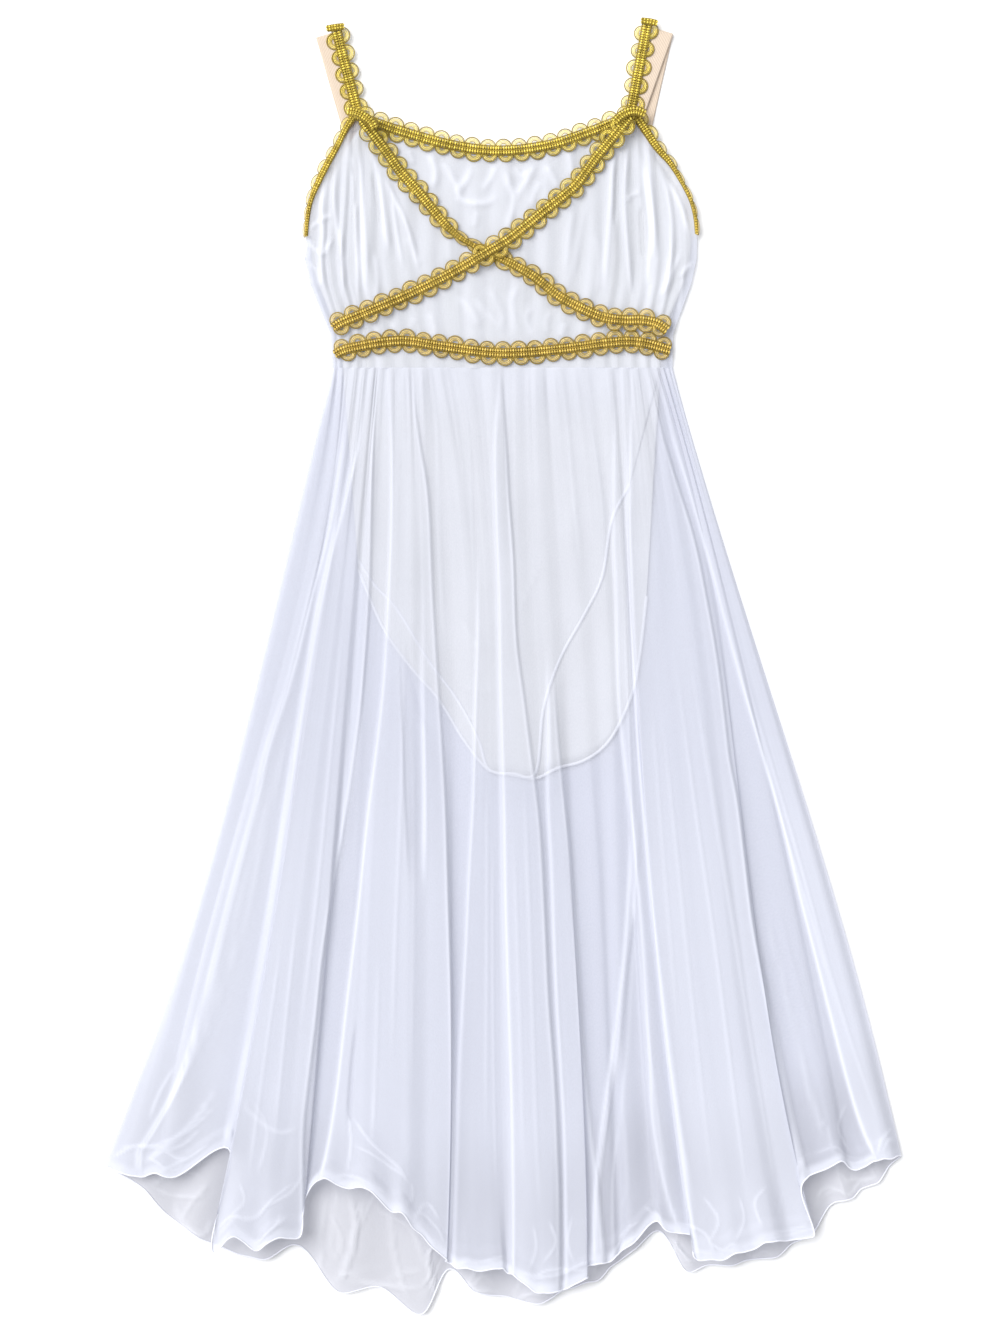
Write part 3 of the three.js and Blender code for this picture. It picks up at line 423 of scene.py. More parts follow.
BACK_CREASES = creases(
    (0.9, 1.0, -213, -367, -203, -351, -192, -339), (0.9, 0.9, -233, -345, -216, -333, -196, -337),
    (1.0, 1.0, -173, -387, -161, -369, -155, -346), (0.9, 0.9, -135, -389, -149, -379, -159, -366),
    (1.2, 1.0, -111, -411, -101, -393, -97, -369, -101, -343),
    (1.0, 0.9, -114, -393, -106, -379, -114, -359),
    (1.1, 1.0, -60, -422, -70, -393, -73, -369, -69, -346), (0.9, 0.9, -41, -418, -48, -399, -47, -379),
    (0.8, 0.9, -78, -408, -68, -400, -51, -397), (0.9, 1.0, -24, -411, -16, -393, -19, -372),
    (0.9, 1.0, 6, -418, 12, -402, 4, -385), (1.0, 1.0, 38, -416, 35, -393, 42, -372),
    (0.8, 0.9, 58, -404, 64, -385, 60, -366), (0.9, 1.6, 81, -387, 78, -362, 83, -339, 79, -280),
    (0.9, 1.0, 109, -396, 115, -376, 111, -356), (0.8, 0.9, 150, -393, 145, -376, 153, -359),
    (0.9, 1.0, 190, -384, 183, -362, 188, -339), (0.8, 1.5, 217, -352, 221, -333, 215, -300, 196, -220),
    (0.8, 0.9, 249, -339, 240, -326, 229, -306), (1.0, 1.8, 54, -22, 63, -128, 68, -227, 72, -319),
    (0.9, 1.8, -31, -75, -31, -181, -29, -286), (0.9, 1.8, 177, -141, 196, -214, 214, -280),
    (0.8, 1.8, -126, -194, -125, -260, -126, -339), (0.8, 1.8, -61, 11, -52, -36, -44, -82),
    (0.7, 0.9, -220, -337, -213, -331, -191, -325), (0.7, 0.9, -217, -350, -205, -349, -194, -342),
    (0.7, 0.9, -217, -350, -212, -361, -205, -368, -194, -372),
    (0.7, 0.9, -112, -339, -109, -352, -112, -372, -116, -389),
    (0.9, 0.9, -101, -346, -97, -366, -99, -385, -107, -399, -117, -407),
    (0.7, 0.9, -82, -346, -91, -362, -97, -376),
    (0.9, 0.9, -104, -402, -94, -407, -81, -408, -68, -407, -54, -409),
    (0.9, 0.9, -54, -409, -47, -399, -49, -389, -43, -379), (0.8, 0.9, -48, -393, -45, -405, -43, -418),
    (0.7, 0.9, 6, -413, 12, -416, 24, -412, 37, -410, 42, -404),
    (0.7, 0.9, -27, -404, -20, -409, -12, -402, -4, -408),
    (0.7, 0.9, 207, -352, 221, -347, 227, -349, 238, -341, 252, -336),
    (0.7, 0.9, 221, -335, 224, -344, 227, -350), (0.7, 0.9, 108, -388, 113, -378, 122, -390, 130, -392),
    (0.7, 0.9, 164, -392, 172, -386, 180, -389),
    (1.0, 0.9, -116, -342, -119, -366, -120, -394, -116, -410),
    (1.0, 0.9, -88, -346, -96, -366, -102, -387, -106, -408),
    (1.0, 0.9, -86, -348, -79, -360, -61, -370, -54, -384, -47, -401),
    (1.0, 0.9, -114, -408, -104, -399, -87, -407, -61, -409, -47, -404),
    (1.0, 0.9, -230, -342, -217, -349, -199, -349, -194, -340),
    (1.0, 0.9, -218, -354, -212, -365, -204, -371, -195, -372, -190, -359),
    (1.0, 0.9, -29, -399, -26, -408, -15, -412, -3, -411), (1.0, 0.9, 104, -373, 110, -384, 109, -394),
    (1.0, 0.9, 110, -375, 120, -387, 127, -396), (1.0, 0.9, 207, -352, 214, -345, 228, -349),
    (1.0, 0.9, 221, -335, 235, -340, 248, -335), (1.0, 0.9, 7, -418, 19, -414, 37, -416, 44, -408),
)


def smooth(x: Array | float) -> Array:
    """Ease from 0 to 1 as x goes from 0 to 1."""
    t = np.clip(x, 0.0, 1.0)
    return t * t * (3.0 - 2.0 * t)


def ramp(x: Array, start: float, length: float) -> Array:
    """Ease from 0 at start to 1 at a length beyond it."""
    return smooth((x - start) / length)


def mix(a: Array, b: Array, t: Array | float) -> Array:
    """Value at share t of the way from a to b."""
    return a + (b - a) * t


def through(values: Array, at: Array) -> Array:
    """Curve through numbered values.

    Args:
        values: one value or point for each whole number.
        at: the places along the curve, as fractions of those numbers.

    Returns:
        The curve's value or point at each place.
    """
    last = len(values) - 1
    i = np.clip(np.floor(at).astype(int), 0, last - 1)
    t = at - i
    if values.ndim > 1:
        t = t[:, None]
    p0, p1 = values[np.maximum(i - 1, 0)], values[i]
    p2, p3 = values[i + 1], values[np.minimum(i + 2, last)]
    bend = 2 * p0 - 5 * p1 + 4 * p2 - p3
    return 0.5 * (2 * p1 + (p2 - p0) * t + bend * t**2 + (3 * p1 - p0 - 3 * p2 + p3) * t**3)


def eased(values: Array, at: Array) -> Array:
    """Value between numbered values, level at each of them."""
    i = np.clip(np.floor(at).astype(int), 0, len(values) - 2)
    return mix(values[i], values[i + 1], smooth(at - i))


def curve_through(points: tuple, count: int) -> Array:
    """Evenly spaced points of a smooth curve through plan points.

    Args:
        points: the plan points, which may carry a third value.
        count: how many points to return.

    Returns:
        The points, as an array of one row each.
    """
    places = np.asarray(points, float)
    fine = through(places, np.linspace(0, len(places) - 1, 40 * len(places)))
    steps = np.hypot(*np.diff(fine[:, :2], axis=0).T)
    along = np.concatenate([[0.0], np.cumsum(steps)])
    even = np.linspace(0, along[-1], count)
    return np.stack([np.interp(even, along, column) for column in fine.T], axis=1)


def streaks(u: Array, v: Array, seed: int) -> Array:
    """Uneven waves between -1 and 1, one long in each whole step of u and v.

    Args:
        u: place across the waves.
        v: place along them.
        seed: fixes the pattern.

    Returns:
        The height of the waves at each place.
    """
    heights = np.random.default_rng(seed).uniform(-1, 1, (257, 33))
    i, j = np.floor(u).astype(int) % 256, np.floor(v).astype(int) % 32
    s, t = smooth(u - np.floor(u)), smooth(v - np.floor(v))
    low = mix(heights[i, j], heights[i + 1, j], s)
    high = mix(heights[i, j + 1], heights[i + 1, j + 1], s)
    return mix(low, high, t)


def wavy(waves: tuple[Waves, ...], c: Array, v: Array, seed: int) -> Array:
    """Height that sets of uneven waves add at places across and down a cloth."""
    return sum(one.height * streaks(c * one.across, v * one.down, seed + one.pattern) for one in waves)


def relief_of(lines: tuple[Crease, ...], x: Array, y: Array) -> Array:
    """Height that a set of creases adds at plan places.

    Args:
        lines: the creases, each placed one by one.
        x: places across the garment.
        y: places along it.

    Returns:
        The height at each place.
    """
    relief = np.zeros_like(x)
    for crease in lines:
        line = curve_through(crease.points, CREASE_STEPS)
        reach = CREASE_REACH * crease.width
        low, high = line.min(axis=0) - reach, line.max(axis=0) + reach
        near = (x > low[0]) & (x < high[0]) & (y > low[1]) & (y < high[1])
        px, py = x[near], y[near]
        best = np.full(px.shape, np.inf)
        share = np.zeros(px.shape)
        steps = np.diff(line, axis=0)
        for k, (start, step) in enumerate(zip(line[:-1], steps)):
            t = np.clip(((px - start[0]) * step[0] + (py - start[1]) * step[1]) / (step @ step), 0, 1)
            away = np.hypot(px - start[0] - t * step[0], py - start[1] - t * step[1])
            share = np.where(away < best, (k + t) / len(steps), share)
            best = np.minimum(away, best)
        taper = smooth(share / CREASE_TAPER) * smooth((1 - share) / CREASE_TAPER)
        relief[near] += crease.height * np.exp(-((best / crease.width) ** 2)) * taper
    return relief


def edge_x(name: str, y: Array) -> Array:
    """x of a named edge at each y."""
    line = curve_through(EDGES[name], 80)[::-1]
    return np.interp(y, line[:, 1], line[:, 0])


def pressed(panels: tuple[Panel, ...], x: Array, y: Array) -> tuple[Array, ...]:
    """What the flattened folds add at plan places.

    Args:
        panels: the folds.
        x: places across the garment.
        y: places along it.

    Returns:
        Their height, their added cover and how near a crisp edge each place is, from 0 to 1.
    """
    height, cover, crisp = np.zeros_like(x), np.zeros_like(x), np.zeros_like(x)
    for panel in panels:
        left, right = edge_x(panel.left, y), edge_x(panel.right, y)
        top = min(EDGES[panel.left][0][1], EDGES[panel.right][0][1])
        end = max(EDGES[panel.left][-1][1], EDGES[panel.right][-1][1])
        shown = ramp(top - y, -FADE_IN[0], FADE_IN[1])
        if end > HEM_REGION:
            shown = shown * ramp(y, end, FADE_OUT)
        lap, slope = EDGE_SLOPE
        inside = ramp(x - left, -lap, slope) * ramp(right - x, -lap, slope) * shown
        middle = np.clip((x - left) / np.maximum(right - left, 1.0), 0, 1)
        crown = CROWN[0] + CROWN[1] * np.sin(math.pi * middle)
        height += PRESSED * panel.height * inside * crown
        cover += panel.cover * inside
        strength = min(1.0, EDGE_STRENGTH * abs(panel.cover))
        for away in (x - left, right - x):
            line = np.exp(-(((away - EDGE_LINE[0]) / EDGE_LINE[1]) ** 2)) * shown * strength
            crisp = np.maximum(crisp, line)
    return height, cover, crisp


class Relief:
    """Height map of what lies on the surface, so that the next layer can rest on it."""

    CELL = 2.0
    LEFT = -290.0
    BOTTOM = -460.0
    SHAPE = (290, 460)

    def __init__(self) -> None:
        """Start with a bare surface."""
        self.top = np.full(self.SHAPE, -np.inf)

    def lay(self, points: Array) -> None:
        """Add a layer's points, of x, y and z in the last axis.

        Args:
            points: the layer's points.
        """
        flat = points.reshape(-1, 3)
        i = np.clip(((flat[:, 0] - self.LEFT) / self.CELL).astype(int), 0, self.SHAPE[0] - 1)
        j = np.clip(((flat[:, 1] - self.BOTTOM) / self.CELL).astype(int), 0, self.SHAPE[1] - 1)
        np.maximum.at(self.top, (i, j), flat[:, 2])

    @staticmethod
    def _shifts(grid: Array) -> list[Array]:
        """The grid and its eight neighbours.

        Args:
            grid: a map.

        Returns:
            The map itself and moved by a cell each way.
        """
        wide = np.pad(grid, 1, mode="edge")
        return [
            wide[1 + a : wide.shape[0] - 1 + a, 1 + b : wide.shape[1] - 1 + b]
            for a in (-1, 0, 1)
            for b in (-1, 0, 1)
        ]

    def eased_top(self, bare: float, grow: int, soften: int) -> Array:
        """The map grown outwards and softened, so that a layer over it bends gently.

        Args:
            bare: the height where nothing lies.
            grow: how many cells each height spreads.
            soften: how many times the map is averaged.

        Returns:
            The height of each cell.
        """
        grid = self.top
        for _ in range(grow):
            grid = np.max(self._shifts(grid), axis=0)
        grid = np.maximum(grid, bare)
        for _ in range(soften):
            grid = np.mean(self._shifts(grid), axis=0)
        return grid

    def sample(self, grid: Array, x: Array, y: Array) -> Array:
        """Height of a map at plan places.

        Args:
            grid: a map of this one's cells.
            x: places across the garment.
            y: places along it.

        Returns:
            The height at each place.
        """
        s = np.clip((x - self.LEFT) / self.CELL - 0.5, 0, self.SHAPE[0] - 1.001)
        t = np.clip((y - self.BOTTOM) / self.CELL - 0.5, 0, self.SHAPE[1] - 1.001)
        i, j = s.astype(int), t.astype(int)
        low = mix(grid[i, j], grid[i + 1, j], s - i)
        high = mix(grid[i, j + 1], grid[i + 1, j + 1], s - i)
        return mix(low, high, t - j)


def side_at(y: Array, left: bool) -> Array:
    """Half width of the body on one side at a height."""
    rows = np.asarray(SIDE_SEAMS, float)
    return np.abs(np.interp(y, rows[:, 0], rows[:, 1 if left else 2]))


def body_points(top_x: Array, top_y: Array, waist: Array, v: Array, inset: float) -> tuple[Array, Array]:
    """Plan points of a body panel.

    Args:
        top_x: x of each column at the top edge.
        top_y: y of each column there.
        waist: x of each column at the waist.
        v: share of the way down of each row.
        inset: how far the panel's sides lie inside the outer layer.

    Returns:
        Arrays of x and y, one row for each v.
    """
    y = mix(top_y[None, :], WAIST_Y + SEAM / 2, v[:, None])
    left = waist < 0
    now = np.where(left[None, :], side_at(y, True), side_at(y, False))
    at_top = np.where(left, side_at(top_y, True), side_at(top_y, False))
    at_waist = np.where(left, side_at(WAIST_Y, True), side_at(WAIST_Y, False))
    share = mix((top_x / at_top)[None, :], (waist / at_waist)[None, :], v[:, None])
    return share * (now - inset), y


def mesh_object(name: str, points: Array, faces: Array) -> Piece:
    """New object from points in millimetres.

    Args:
        name: the piece's name.
        points: one row for each point.
        faces: one row of point numbers for each four-sided face.

    Returns:
        The object, linked to the scene.
    """
    mesh = bpy.data.meshes.new(name)
    mesh.vertices.add(len(points))
    mesh.vertices.foreach_set("co", (points * MM).astype(np.float32).ravel())
    mesh.loops.add(faces.size)
    mesh.loops.foreach_set("vertex_index", faces.astype(np.int32).ravel())
    mesh.polygons.add(len(faces))
    mesh.polygons.foreach_set("loop_start", np.arange(0, faces.size, 4, dtype=np.int32))
    mesh.polygons.foreach_set("use_smooth", np.ones(len(faces), dtype=bool))
    mesh.update(calc_edges=True)
    mesh.validate()
    piece = bpy.data.objects.new(name, mesh)
    bpy.context.scene.collection.objects.link(piece)
    return piece


def grid_faces(rows: int, columns: int, outward: Outward) -> Array:
    """Faces of a grid whose rows run down the garment and columns across it.

    Args:
        rows: how many rows of points.
        columns: how many points in a row.
        outward: the way that the right side faces.

    Returns:
        One row of point numbers for each face.
    """
    start = (np.arange(rows - 1)[:, None] * columns + np.arange(columns - 1)).ravel()
    corners = [start, start + columns, start + columns + 1, start + 1]
    if outward is Outward.DOWN:
        corners.reverse()
    return np.stack(corners, axis=1)


def set_uv(piece: Piece, u: Array, v: Array) -> None:
    """Give each point its place on the flat cloth, in metres.

    Args:
        piece: the cloth.
        u: each point's place across.
        v: its place along.
    """
    layer = piece.data.uv_layers.new(name="cloth")
    index = np.zeros(len(piece.data.loops), dtype=np.int32)
    piece.data.loops.foreach_get("vertex_index", index)
    layer.uv.foreach_set("vector", np.stack([u[index], v[index]], axis=1).astype(np.float32).ravel())


def set_value(piece: Piece, name: str, values: Array) -> None:
    """Store a number for each point under a name that a material reads."""
    stored = piece.data.attributes.new(name, "FLOAT", "POINT")
    stored.data.foreach_set("value", values.astype(np.float32).ravel())


def cloth_object(
    name: str, grid: Array, outward: Outward, density: Array, span: Pair
) -> Piece:
    """One layer of cloth as a thin sheet.

    Args:
        name: the piece's name.
        grid: its points, rows by columns.
        outward: the way that its right side faces.
        density: how closely the cloth is gathered at each point, from 0 to 1; the finish also paints light
            and shade by it.
        span: flat width and length of the cloth, in metres.

    Returns:
        The object.
    """
    rows, columns = grid.shape[:2]
    piece = mesh_object(name, grid.reshape(-1, 3), grid_faces(rows, columns, outward))
    u, v = np.meshgrid(np.linspace(0, span[0], columns), np.linspace(0, span[1], rows))
    set_uv(piece, u.ravel(), v.ravel())
    # the stored share sets the cover and the painted light and shade of the sheer finish
    set_value(piece, "gathered", density)
    return piece


def wall_object(name: str, bottom: Array, thickness: float) -> Piece:
    """Closed wall of cloth over a grid of underside points.

    Args:
        name: the piece's name.
        bottom: the underside's points, rows by columns.
        thickness: the wall's thickness in millimetres.

    Returns:
        The object.
    """
    rows, columns = bottom.shape[:2]
    count = rows * columns
    top = bottom + np.array([0.0, 0.0, thickness])
    number = np.arange(count).reshape(rows, columns)
    rim = np.concatenate([number[0, :], number[1:, -1], number[-1, -2::-1], number[-2:0:-1, 0]])
    ahead = np.roll(rim, -1)
    faces = np.concatenate([
        grid_faces(rows, columns, Outward.UP) + count,
        grid_faces(rows, columns, Outward.DOWN),
        np.stack([rim, rim + count, ahead + count, ahead], axis=1),
    ])
    points = np.concatenate([bottom.reshape(-1, 3), top.reshape(-1, 3)])
    piece = mesh_object(name, points, faces)
    set_uv(piece, points[:, 0] * MM, points[:, 1] * MM)
    return piece


class Signal:
    """A shader socket that takes part in Python expressions."""

    def __init__(self, recipe: "Recipe", socket: Socket) -> None:
        """Wrap a socket of a recipe."""
        self.recipe = recipe
        self.socket = socket

    def _maths(self, operation: str, *terms: "Signal | float") -> "Signal":
        """Result of a Math node on the given terms."""
        node = self.recipe.node("ShaderNodeMath", {"operation": operation}, dict(enumerate(terms)))
        return Signal(self.recipe, node.outputs[0])

    def __add__(self, other: "Signal | float") -> "Signal":
        """self + other."""
        return self._maths("ADD", self, other)

    def __radd__(self, other: "Signal | float") -> "Signal":
        """other + self."""
        return self._maths("ADD", other, self)

    def __sub__(self, other: "Signal | float") -> "Signal":
        """self - other."""
        return self._maths("SUBTRACT", self, other)

    def __rsub__(self, other: "Signal | float") -> "Signal":
        """other - self."""
        return self._maths("SUBTRACT", other, self)

    def __mul__(self, other: "Signal | float") -> "Signal":
        """self * other."""
        return self._maths("MULTIPLY", self, other)

    def __rmul__(self, other: "Signal | float") -> "Signal":
        """other * self."""
        return self._maths("MULTIPLY", other, self)

    def sine(self) -> "Signal":
        """Sine of the signal."""
        return self._maths("SINE", self)

    def within(self, low: float, high: float) -> "Signal":
        """The signal held between two values."""
        return self._maths("MAXIMUM", self._maths("MINIMUM", self, high), low)

    def eased(self, low: float, high: float) -> "Signal":
        """0 below low, 1 above high and a smooth rise between.

        Args:
            low: where the rise starts.
            high: where it ends.

        Returns:
            The eased signal.
        """
        settings = {"interpolation_type": "SMOOTHSTEP"}
        sockets = {"Value": self, "From Min": low, "From Max": high}
        node = self.recipe.node("ShaderNodeMapRange", settings, sockets)
        return Signal(self.recipe, node.outputs[0])


class NodeWork:
    """Adds nodes to a tree: settings first, then the values and links of the sockets."""

    def __init__(self, tree: bpy.types.NodeTree) -> None:
        """Work on a tree."""
        self.tree = tree

    def node(self, kind: str, settings: dict | None = None, sockets: dict | None = None) -> bpy.types.Node:
        """Add one node.

        Args:
            kind: the node's type.
            settings: its properties, set first; a ramp's stops go under "stops".
            sockets: a value or link for each input, by name or number.

        Returns:
            The node.
        """
        made = self.tree.nodes.new(kind)
        for key, value in (settings or {}).items():
            if key == "stops":
                ramp = made.color_ramp.elements
                for stop, (place, colour) in enumerate(value):
                    element = ramp[stop] if stop < len(ramp) else ramp.new(place)
                    element.position, element.color = place, (*colour, 1.0)
            else:
                setattr(made, key, value)
        for key, value in (sockets or {}).items():
            self.feed(made.inputs[key], value)
        return made

    def feed(self, target: Socket, value: object) -> None:
        """Link a socket or set its value.

        Args:
            target: the input.
            value: a signal, a socket, a list of sockets or a constant.
        """
        if isinstance(value, Signal):
            value = value.socket
        if isinstance(value, (list, tuple)) and value and isinstance(value[0], Socket):
            for source in value:
                self.tree.links.new(source, target)
        elif isinstance(value, Socket):
            self.tree.links.new(value, target)
        else:
            target.default_value = value


class Recipe(NodeWork):
    """A material under construction."""

    def __init__(self, name: str) -> None:
        """Start an empty material.

        Args:
            name: the material's name.
        """
        self.material = bpy.data.materials.new(name)
        self.material.use_nodes = True
        super().__init__(self.material.node_tree)
        self.tree.nodes.clear()

    def signal(
        self, kind: str, settings: dict | None = None, sockets: dict | None = None, output: int | str = 0
    ) -> Signal:
        """One output of a new node, as a signal."""
        return Signal(self, self.node(kind, settings, sockets).outputs[output])

    def cloth_place(self, scale: Triple) -> Signal:
        """Place on the flat cloth, stretched by a scale for each way."""
        uv = self.signal("ShaderNodeUVMap", {"uv_map": "cloth"})
        return self.signal("ShaderNodeMapping", None, {"Vector": uv, "Scale": scale})

    def object_place(self) -> Signal:
        """Place in the garment's frame."""
        return self.signal("ShaderNodeTexCoord", output="Object")

    def noise(self, place: Signal, scale: float, detail: float = 2.0) -> Signal:
        """Soft random pattern from 0 to 1."""
        return self.signal("ShaderNodeTexNoise", None, {"Vector": place, "Scale": scale, "Detail": detail})

    def stored(self, name: str) -> Signal:
        """Number that the mesh stores under a name."""
        return self.signal("ShaderNodeAttribute", {"attribute_name": name}, output="Fac")

    def tint(self, amount: Signal, low: Triple, high: Triple | Signal) -> Signal:
        """Colour between two colours."""
        sockets = {0: amount, 6: (*low, 1.0), 7: high if isinstance(high, Signal) else (*high, 1.0)}
        return self.signal("ShaderNodeMix", {"data_type": "RGBA"}, sockets, output=2)

    def bump(self, height: Signal, depth: float) -> Signal:
        """Surface detail of a depth in metres."""
        return self.signal("ShaderNodeBump", None, {"Height": height, "Distance": depth, "Strength": 1.0})

    def finish(self, shader: Socket) -> Material:
        """Connect the last shader and hand over the material."""
        self.node("ShaderNodeOutputMaterial", None, {"Surface": shader})
        return self.material


@dataclass(frozen=True)
class SheerFinish:
    """Fine white mesh that shows what lies under it, denser where it is gathered. Its base colour is lighter
    where the stored share is high and darker where it is low: partly the denser cloth, partly painted
    highlights on ridges and edges and painted shade in gaps and troughs.
    """

    name: str
    shade: Triple = (0.605, 0.615, 0.69)
    light: Triple = (0.70, 0.72, 0.80)
    see_through: Triple = (0.92, 0.93, 0.962)
    cover_single: float = 0.36  # cover where the stored share is 0
    cover_gathered: float = 0.90  # cover where it is 1
    roughness: float = 0.72
    sheen: float = 0.25
    gloss: float = 0.15
    drawn_scale: Triple = (70.0, 2.5, 1.0)  # threads drawn down the cloth
    drawn_share: float = 0.12
    drawn_tone: float = 0.2
    thread: float = 900.0  # fine grain, in waves a metre
    thread_share: float = 0.12
    thread_depth: float = 0.00008

    def material(self) -> Material:
        """Build the finish.

        Returns:
            The material.
        """
        mix_in = Recipe(self.name)
        drawn = mix_in.noise(mix_in.cloth_place(self.drawn_scale), 1.0, 1.0)
        net = mix_in.noise(mix_in.cloth_place((1.0, 1.0, 1.0)), self.thread, 1.0)
        density = mix_in.stored("gathered")
        cover = density + self.drawn_share * (drawn - 0.5) + self.thread_share * (net - 0.5)
        cover = self.cover_single + (self.cover_gathered - self.cover_single) * cover.within(0.0, 1.0)
        # painted light and shade: the base colour goes from shade to light as the stored share rises
        tone = (density + self.drawn_tone * (drawn - 0.5)).within(0.0, 1.0)
        cloth = mix_in.signal("ShaderNodeBsdfPrincipled", None, {
            "Base Color": mix_in.tint(tone, self.shade, self.light),
            "Roughness": self.roughness + 0.2 * (net - 0.5),
            "Sheen Weight": self.sheen,
            "Sheen Roughness": 0.5,
            "Specular IOR Level": self.gloss,
            "Normal": mix_in.bump(net, self.thread_depth),
        })
        gap = mix_in.signal("ShaderNodeBsdfTransparent", None, {"Color": (*self.see_through, 1.0)})
        blend = mix_in.signal("ShaderNodeMixShader", None, {0: cover, 1: gap, 2: cloth})
        return mix_in.finish(blend.socket)


@dataclass(frozen=True)
class KnitFinish:
    """Smooth opaque stretch knit with a fine rib."""

    name: str
    shade: Triple = (0.73, 0.725, 0.70)
    light: Triple = (0.775, 0.77, 0.745)
    rib: float = 2 * math.pi / 0.0011
    cloud: float = 22.0  # broad unevenness, in waves a metre
    grain: float = 1400.0
    roughness: float = 0.5
    sheen: float = 0.15
    gloss: float = 0.35
    depth: float = 0.00012

    def material(self) -> Material:
        """Build the finish.

        Returns:
            The material.
        """
        knit = Recipe(self.name)
        place = knit.object_place()
        across = knit.signal("ShaderNodeSeparateXYZ", None, {0: place})
        wales = (across * self.rib).sine()
        cloudy = knit.noise(place, self.cloud, 3.0)
        grain = knit.noise(place, self.grain, 1.0)
        cloth = knit.signal("ShaderNodeBsdfPrincipled", None, {
            "Base Color": knit.tint(cloudy.eased(0.3, 0.7), self.shade, self.light),
            "Roughness": self.roughness + 0.2 * (grain - 0.5),
            "Sheen Weight": self.sheen,
            "Specular IOR Level": self.gloss,
            "Normal": knit.bump(0.3 * wales + grain, self.depth),
        })
        return knit.finish(cloth.socket)


@dataclass(frozen=True)
class GoldFinish:
    """Bright gold gimp thread, painted dark in its grooves as shade."""

    name: str
    # painted shade: the colour of the dark grooves between the wound threads
    groove: Triple = (0.20, 0.13, 0.010)
    wear_and_shade: Triple = (0.86, 0.63, 0.15)
    bright: Triple = (0.98, 0.80, 0.14)
    dull_below: float = 0.20  # y in metres where the gilt is painted dullest: painted shade, darker towards the waist
    bright_above: float = 0.40
    wind: float = 5200.0  # waves a metre of the wound thread
    wear: float = 60.0
    metal: float = 0.45
    roughness: float = 0.26
    depth: float = 0.00012

    def material(self) -> Material:
        """Build the finish.

        Returns:
            The material.
        """
        gold = Recipe(self.name)
        place = gold.object_place()
        fibre = gold.noise(place, self.wind, 1.0)
        wear_and_shade = gold.noise(place, self.wear, 2.0)
        tone = (gold.stored("shade") + 0.3 * (wear_and_shade - 0.5) + 0.25 * (fibre - 0.5)).within(0.0, 1.0)
        # painted light: the gilt is painted duller towards the waist and brighter towards the neck and
        # straps, a painted reflection
        up = gold.signal("ShaderNodeSeparateXYZ", None, {0: place}, output=1)
        gilt = gold.tint(up.eased(self.dull_below, self.bright_above), self.wear_and_shade, self.bright)
        thread = gold.signal("ShaderNodeBsdfPrincipled", None, {
            "Base Color": gold.tint(tone, self.groove, gilt),
            "Metallic": self.metal + 0.2 * fibre,
            "Roughness": self.roughness + 0.2 * wear_and_shade,
            "Normal": gold.bump(fibre, self.depth),
        })
        return gold.finish(thread.socket)


@dataclass(frozen=True)
class ElasticFinish:
    """Nude elastic with ribs that run along it."""

    name: str
    shade: Triple = (0.58, 0.44, 0.33)
    light: Triple = (0.69, 0.58, 0.46)
    rib: float = 2 * math.pi / 0.001
    weave: float = 1500.0
    roughness: float = 0.5
    sheen: float = 0.2
    depth: float = 0.00015

    def material(self) -> Material:
        """Build the finish.

        Returns:
            The material.
        """
        elastic = Recipe(self.name)
        uv = elastic.cloth_place((1.0, 1.0, 1.0))
        across = elastic.signal("ShaderNodeSeparateXYZ", None, {0: uv})
        ribs = 0.5 + 0.5 * (across * self.rib).sine()
        weave = elastic.noise(uv, self.weave, 1.0)
        tone = (0.55 * ribs + 0.6 * weave).within(0.0, 1.0)
        surface = elastic.signal("ShaderNodeBsdfPrincipled", None, {
            "Base Color": elastic.tint(tone, self.shade, self.light),
            "Roughness": self.roughness + 0.2 * (weave - 0.5),
            "Sheen Weight": self.sheen,
            "Normal": elastic.bump(ribs + 0.5 * weave, self.depth),
        })
        return elastic.finish(surface.socket)


@dataclass(frozen=True)
class ThreadFinish:
    """White sewing thread and rolled edges."""

    name: str
    colour: Triple = (0.80, 0.81, 0.88)
    dim: float = 0.86  # share of the colour in the thread's grooves
    grain: float = 1600.0
    depth: float = 0.0001

    def material(self) -> Material:
        """Build the finish.

        Returns:
            The material.
        """
        sewn = Recipe(self.name)
        grain = sewn.noise(sewn.object_place(), self.grain, 2.0)
        shade = tuple(self.dim * channel for channel in self.colour)
        thread = sewn.signal("ShaderNodeBsdfPrincipled", None, {
            "Base Color": sewn.tint(grain, shade, self.colour),
            "Roughness": 0.5 + 0.2 * grain,
            "Normal": sewn.bump(grain, self.depth),
        })
        return sewn.finish(thread.socket)


@dataclass(frozen=True)
class FloorFinish:
    """Plain pale floor."""

    name: str
    colour: Triple = (0.93, 0.93, 0.935)

    def material(self) -> Material:
        """Build the finish.

        Returns:
            The material.
        """
        floor = Recipe(self.name)
        grain = floor.noise(floor.object_place(), 40.0, 2.0)
        low = tuple(channel - 0.006 for channel in self.colour)
        matt = floor.signal("ShaderNodeBsdfPrincipled", None, {
            "Base Color": floor.tint(grain, low, self.colour),
            "Roughness": 0.9,
            "Specular IOR Level": 0.1,
        })
        return floor.finish(matt.socket)


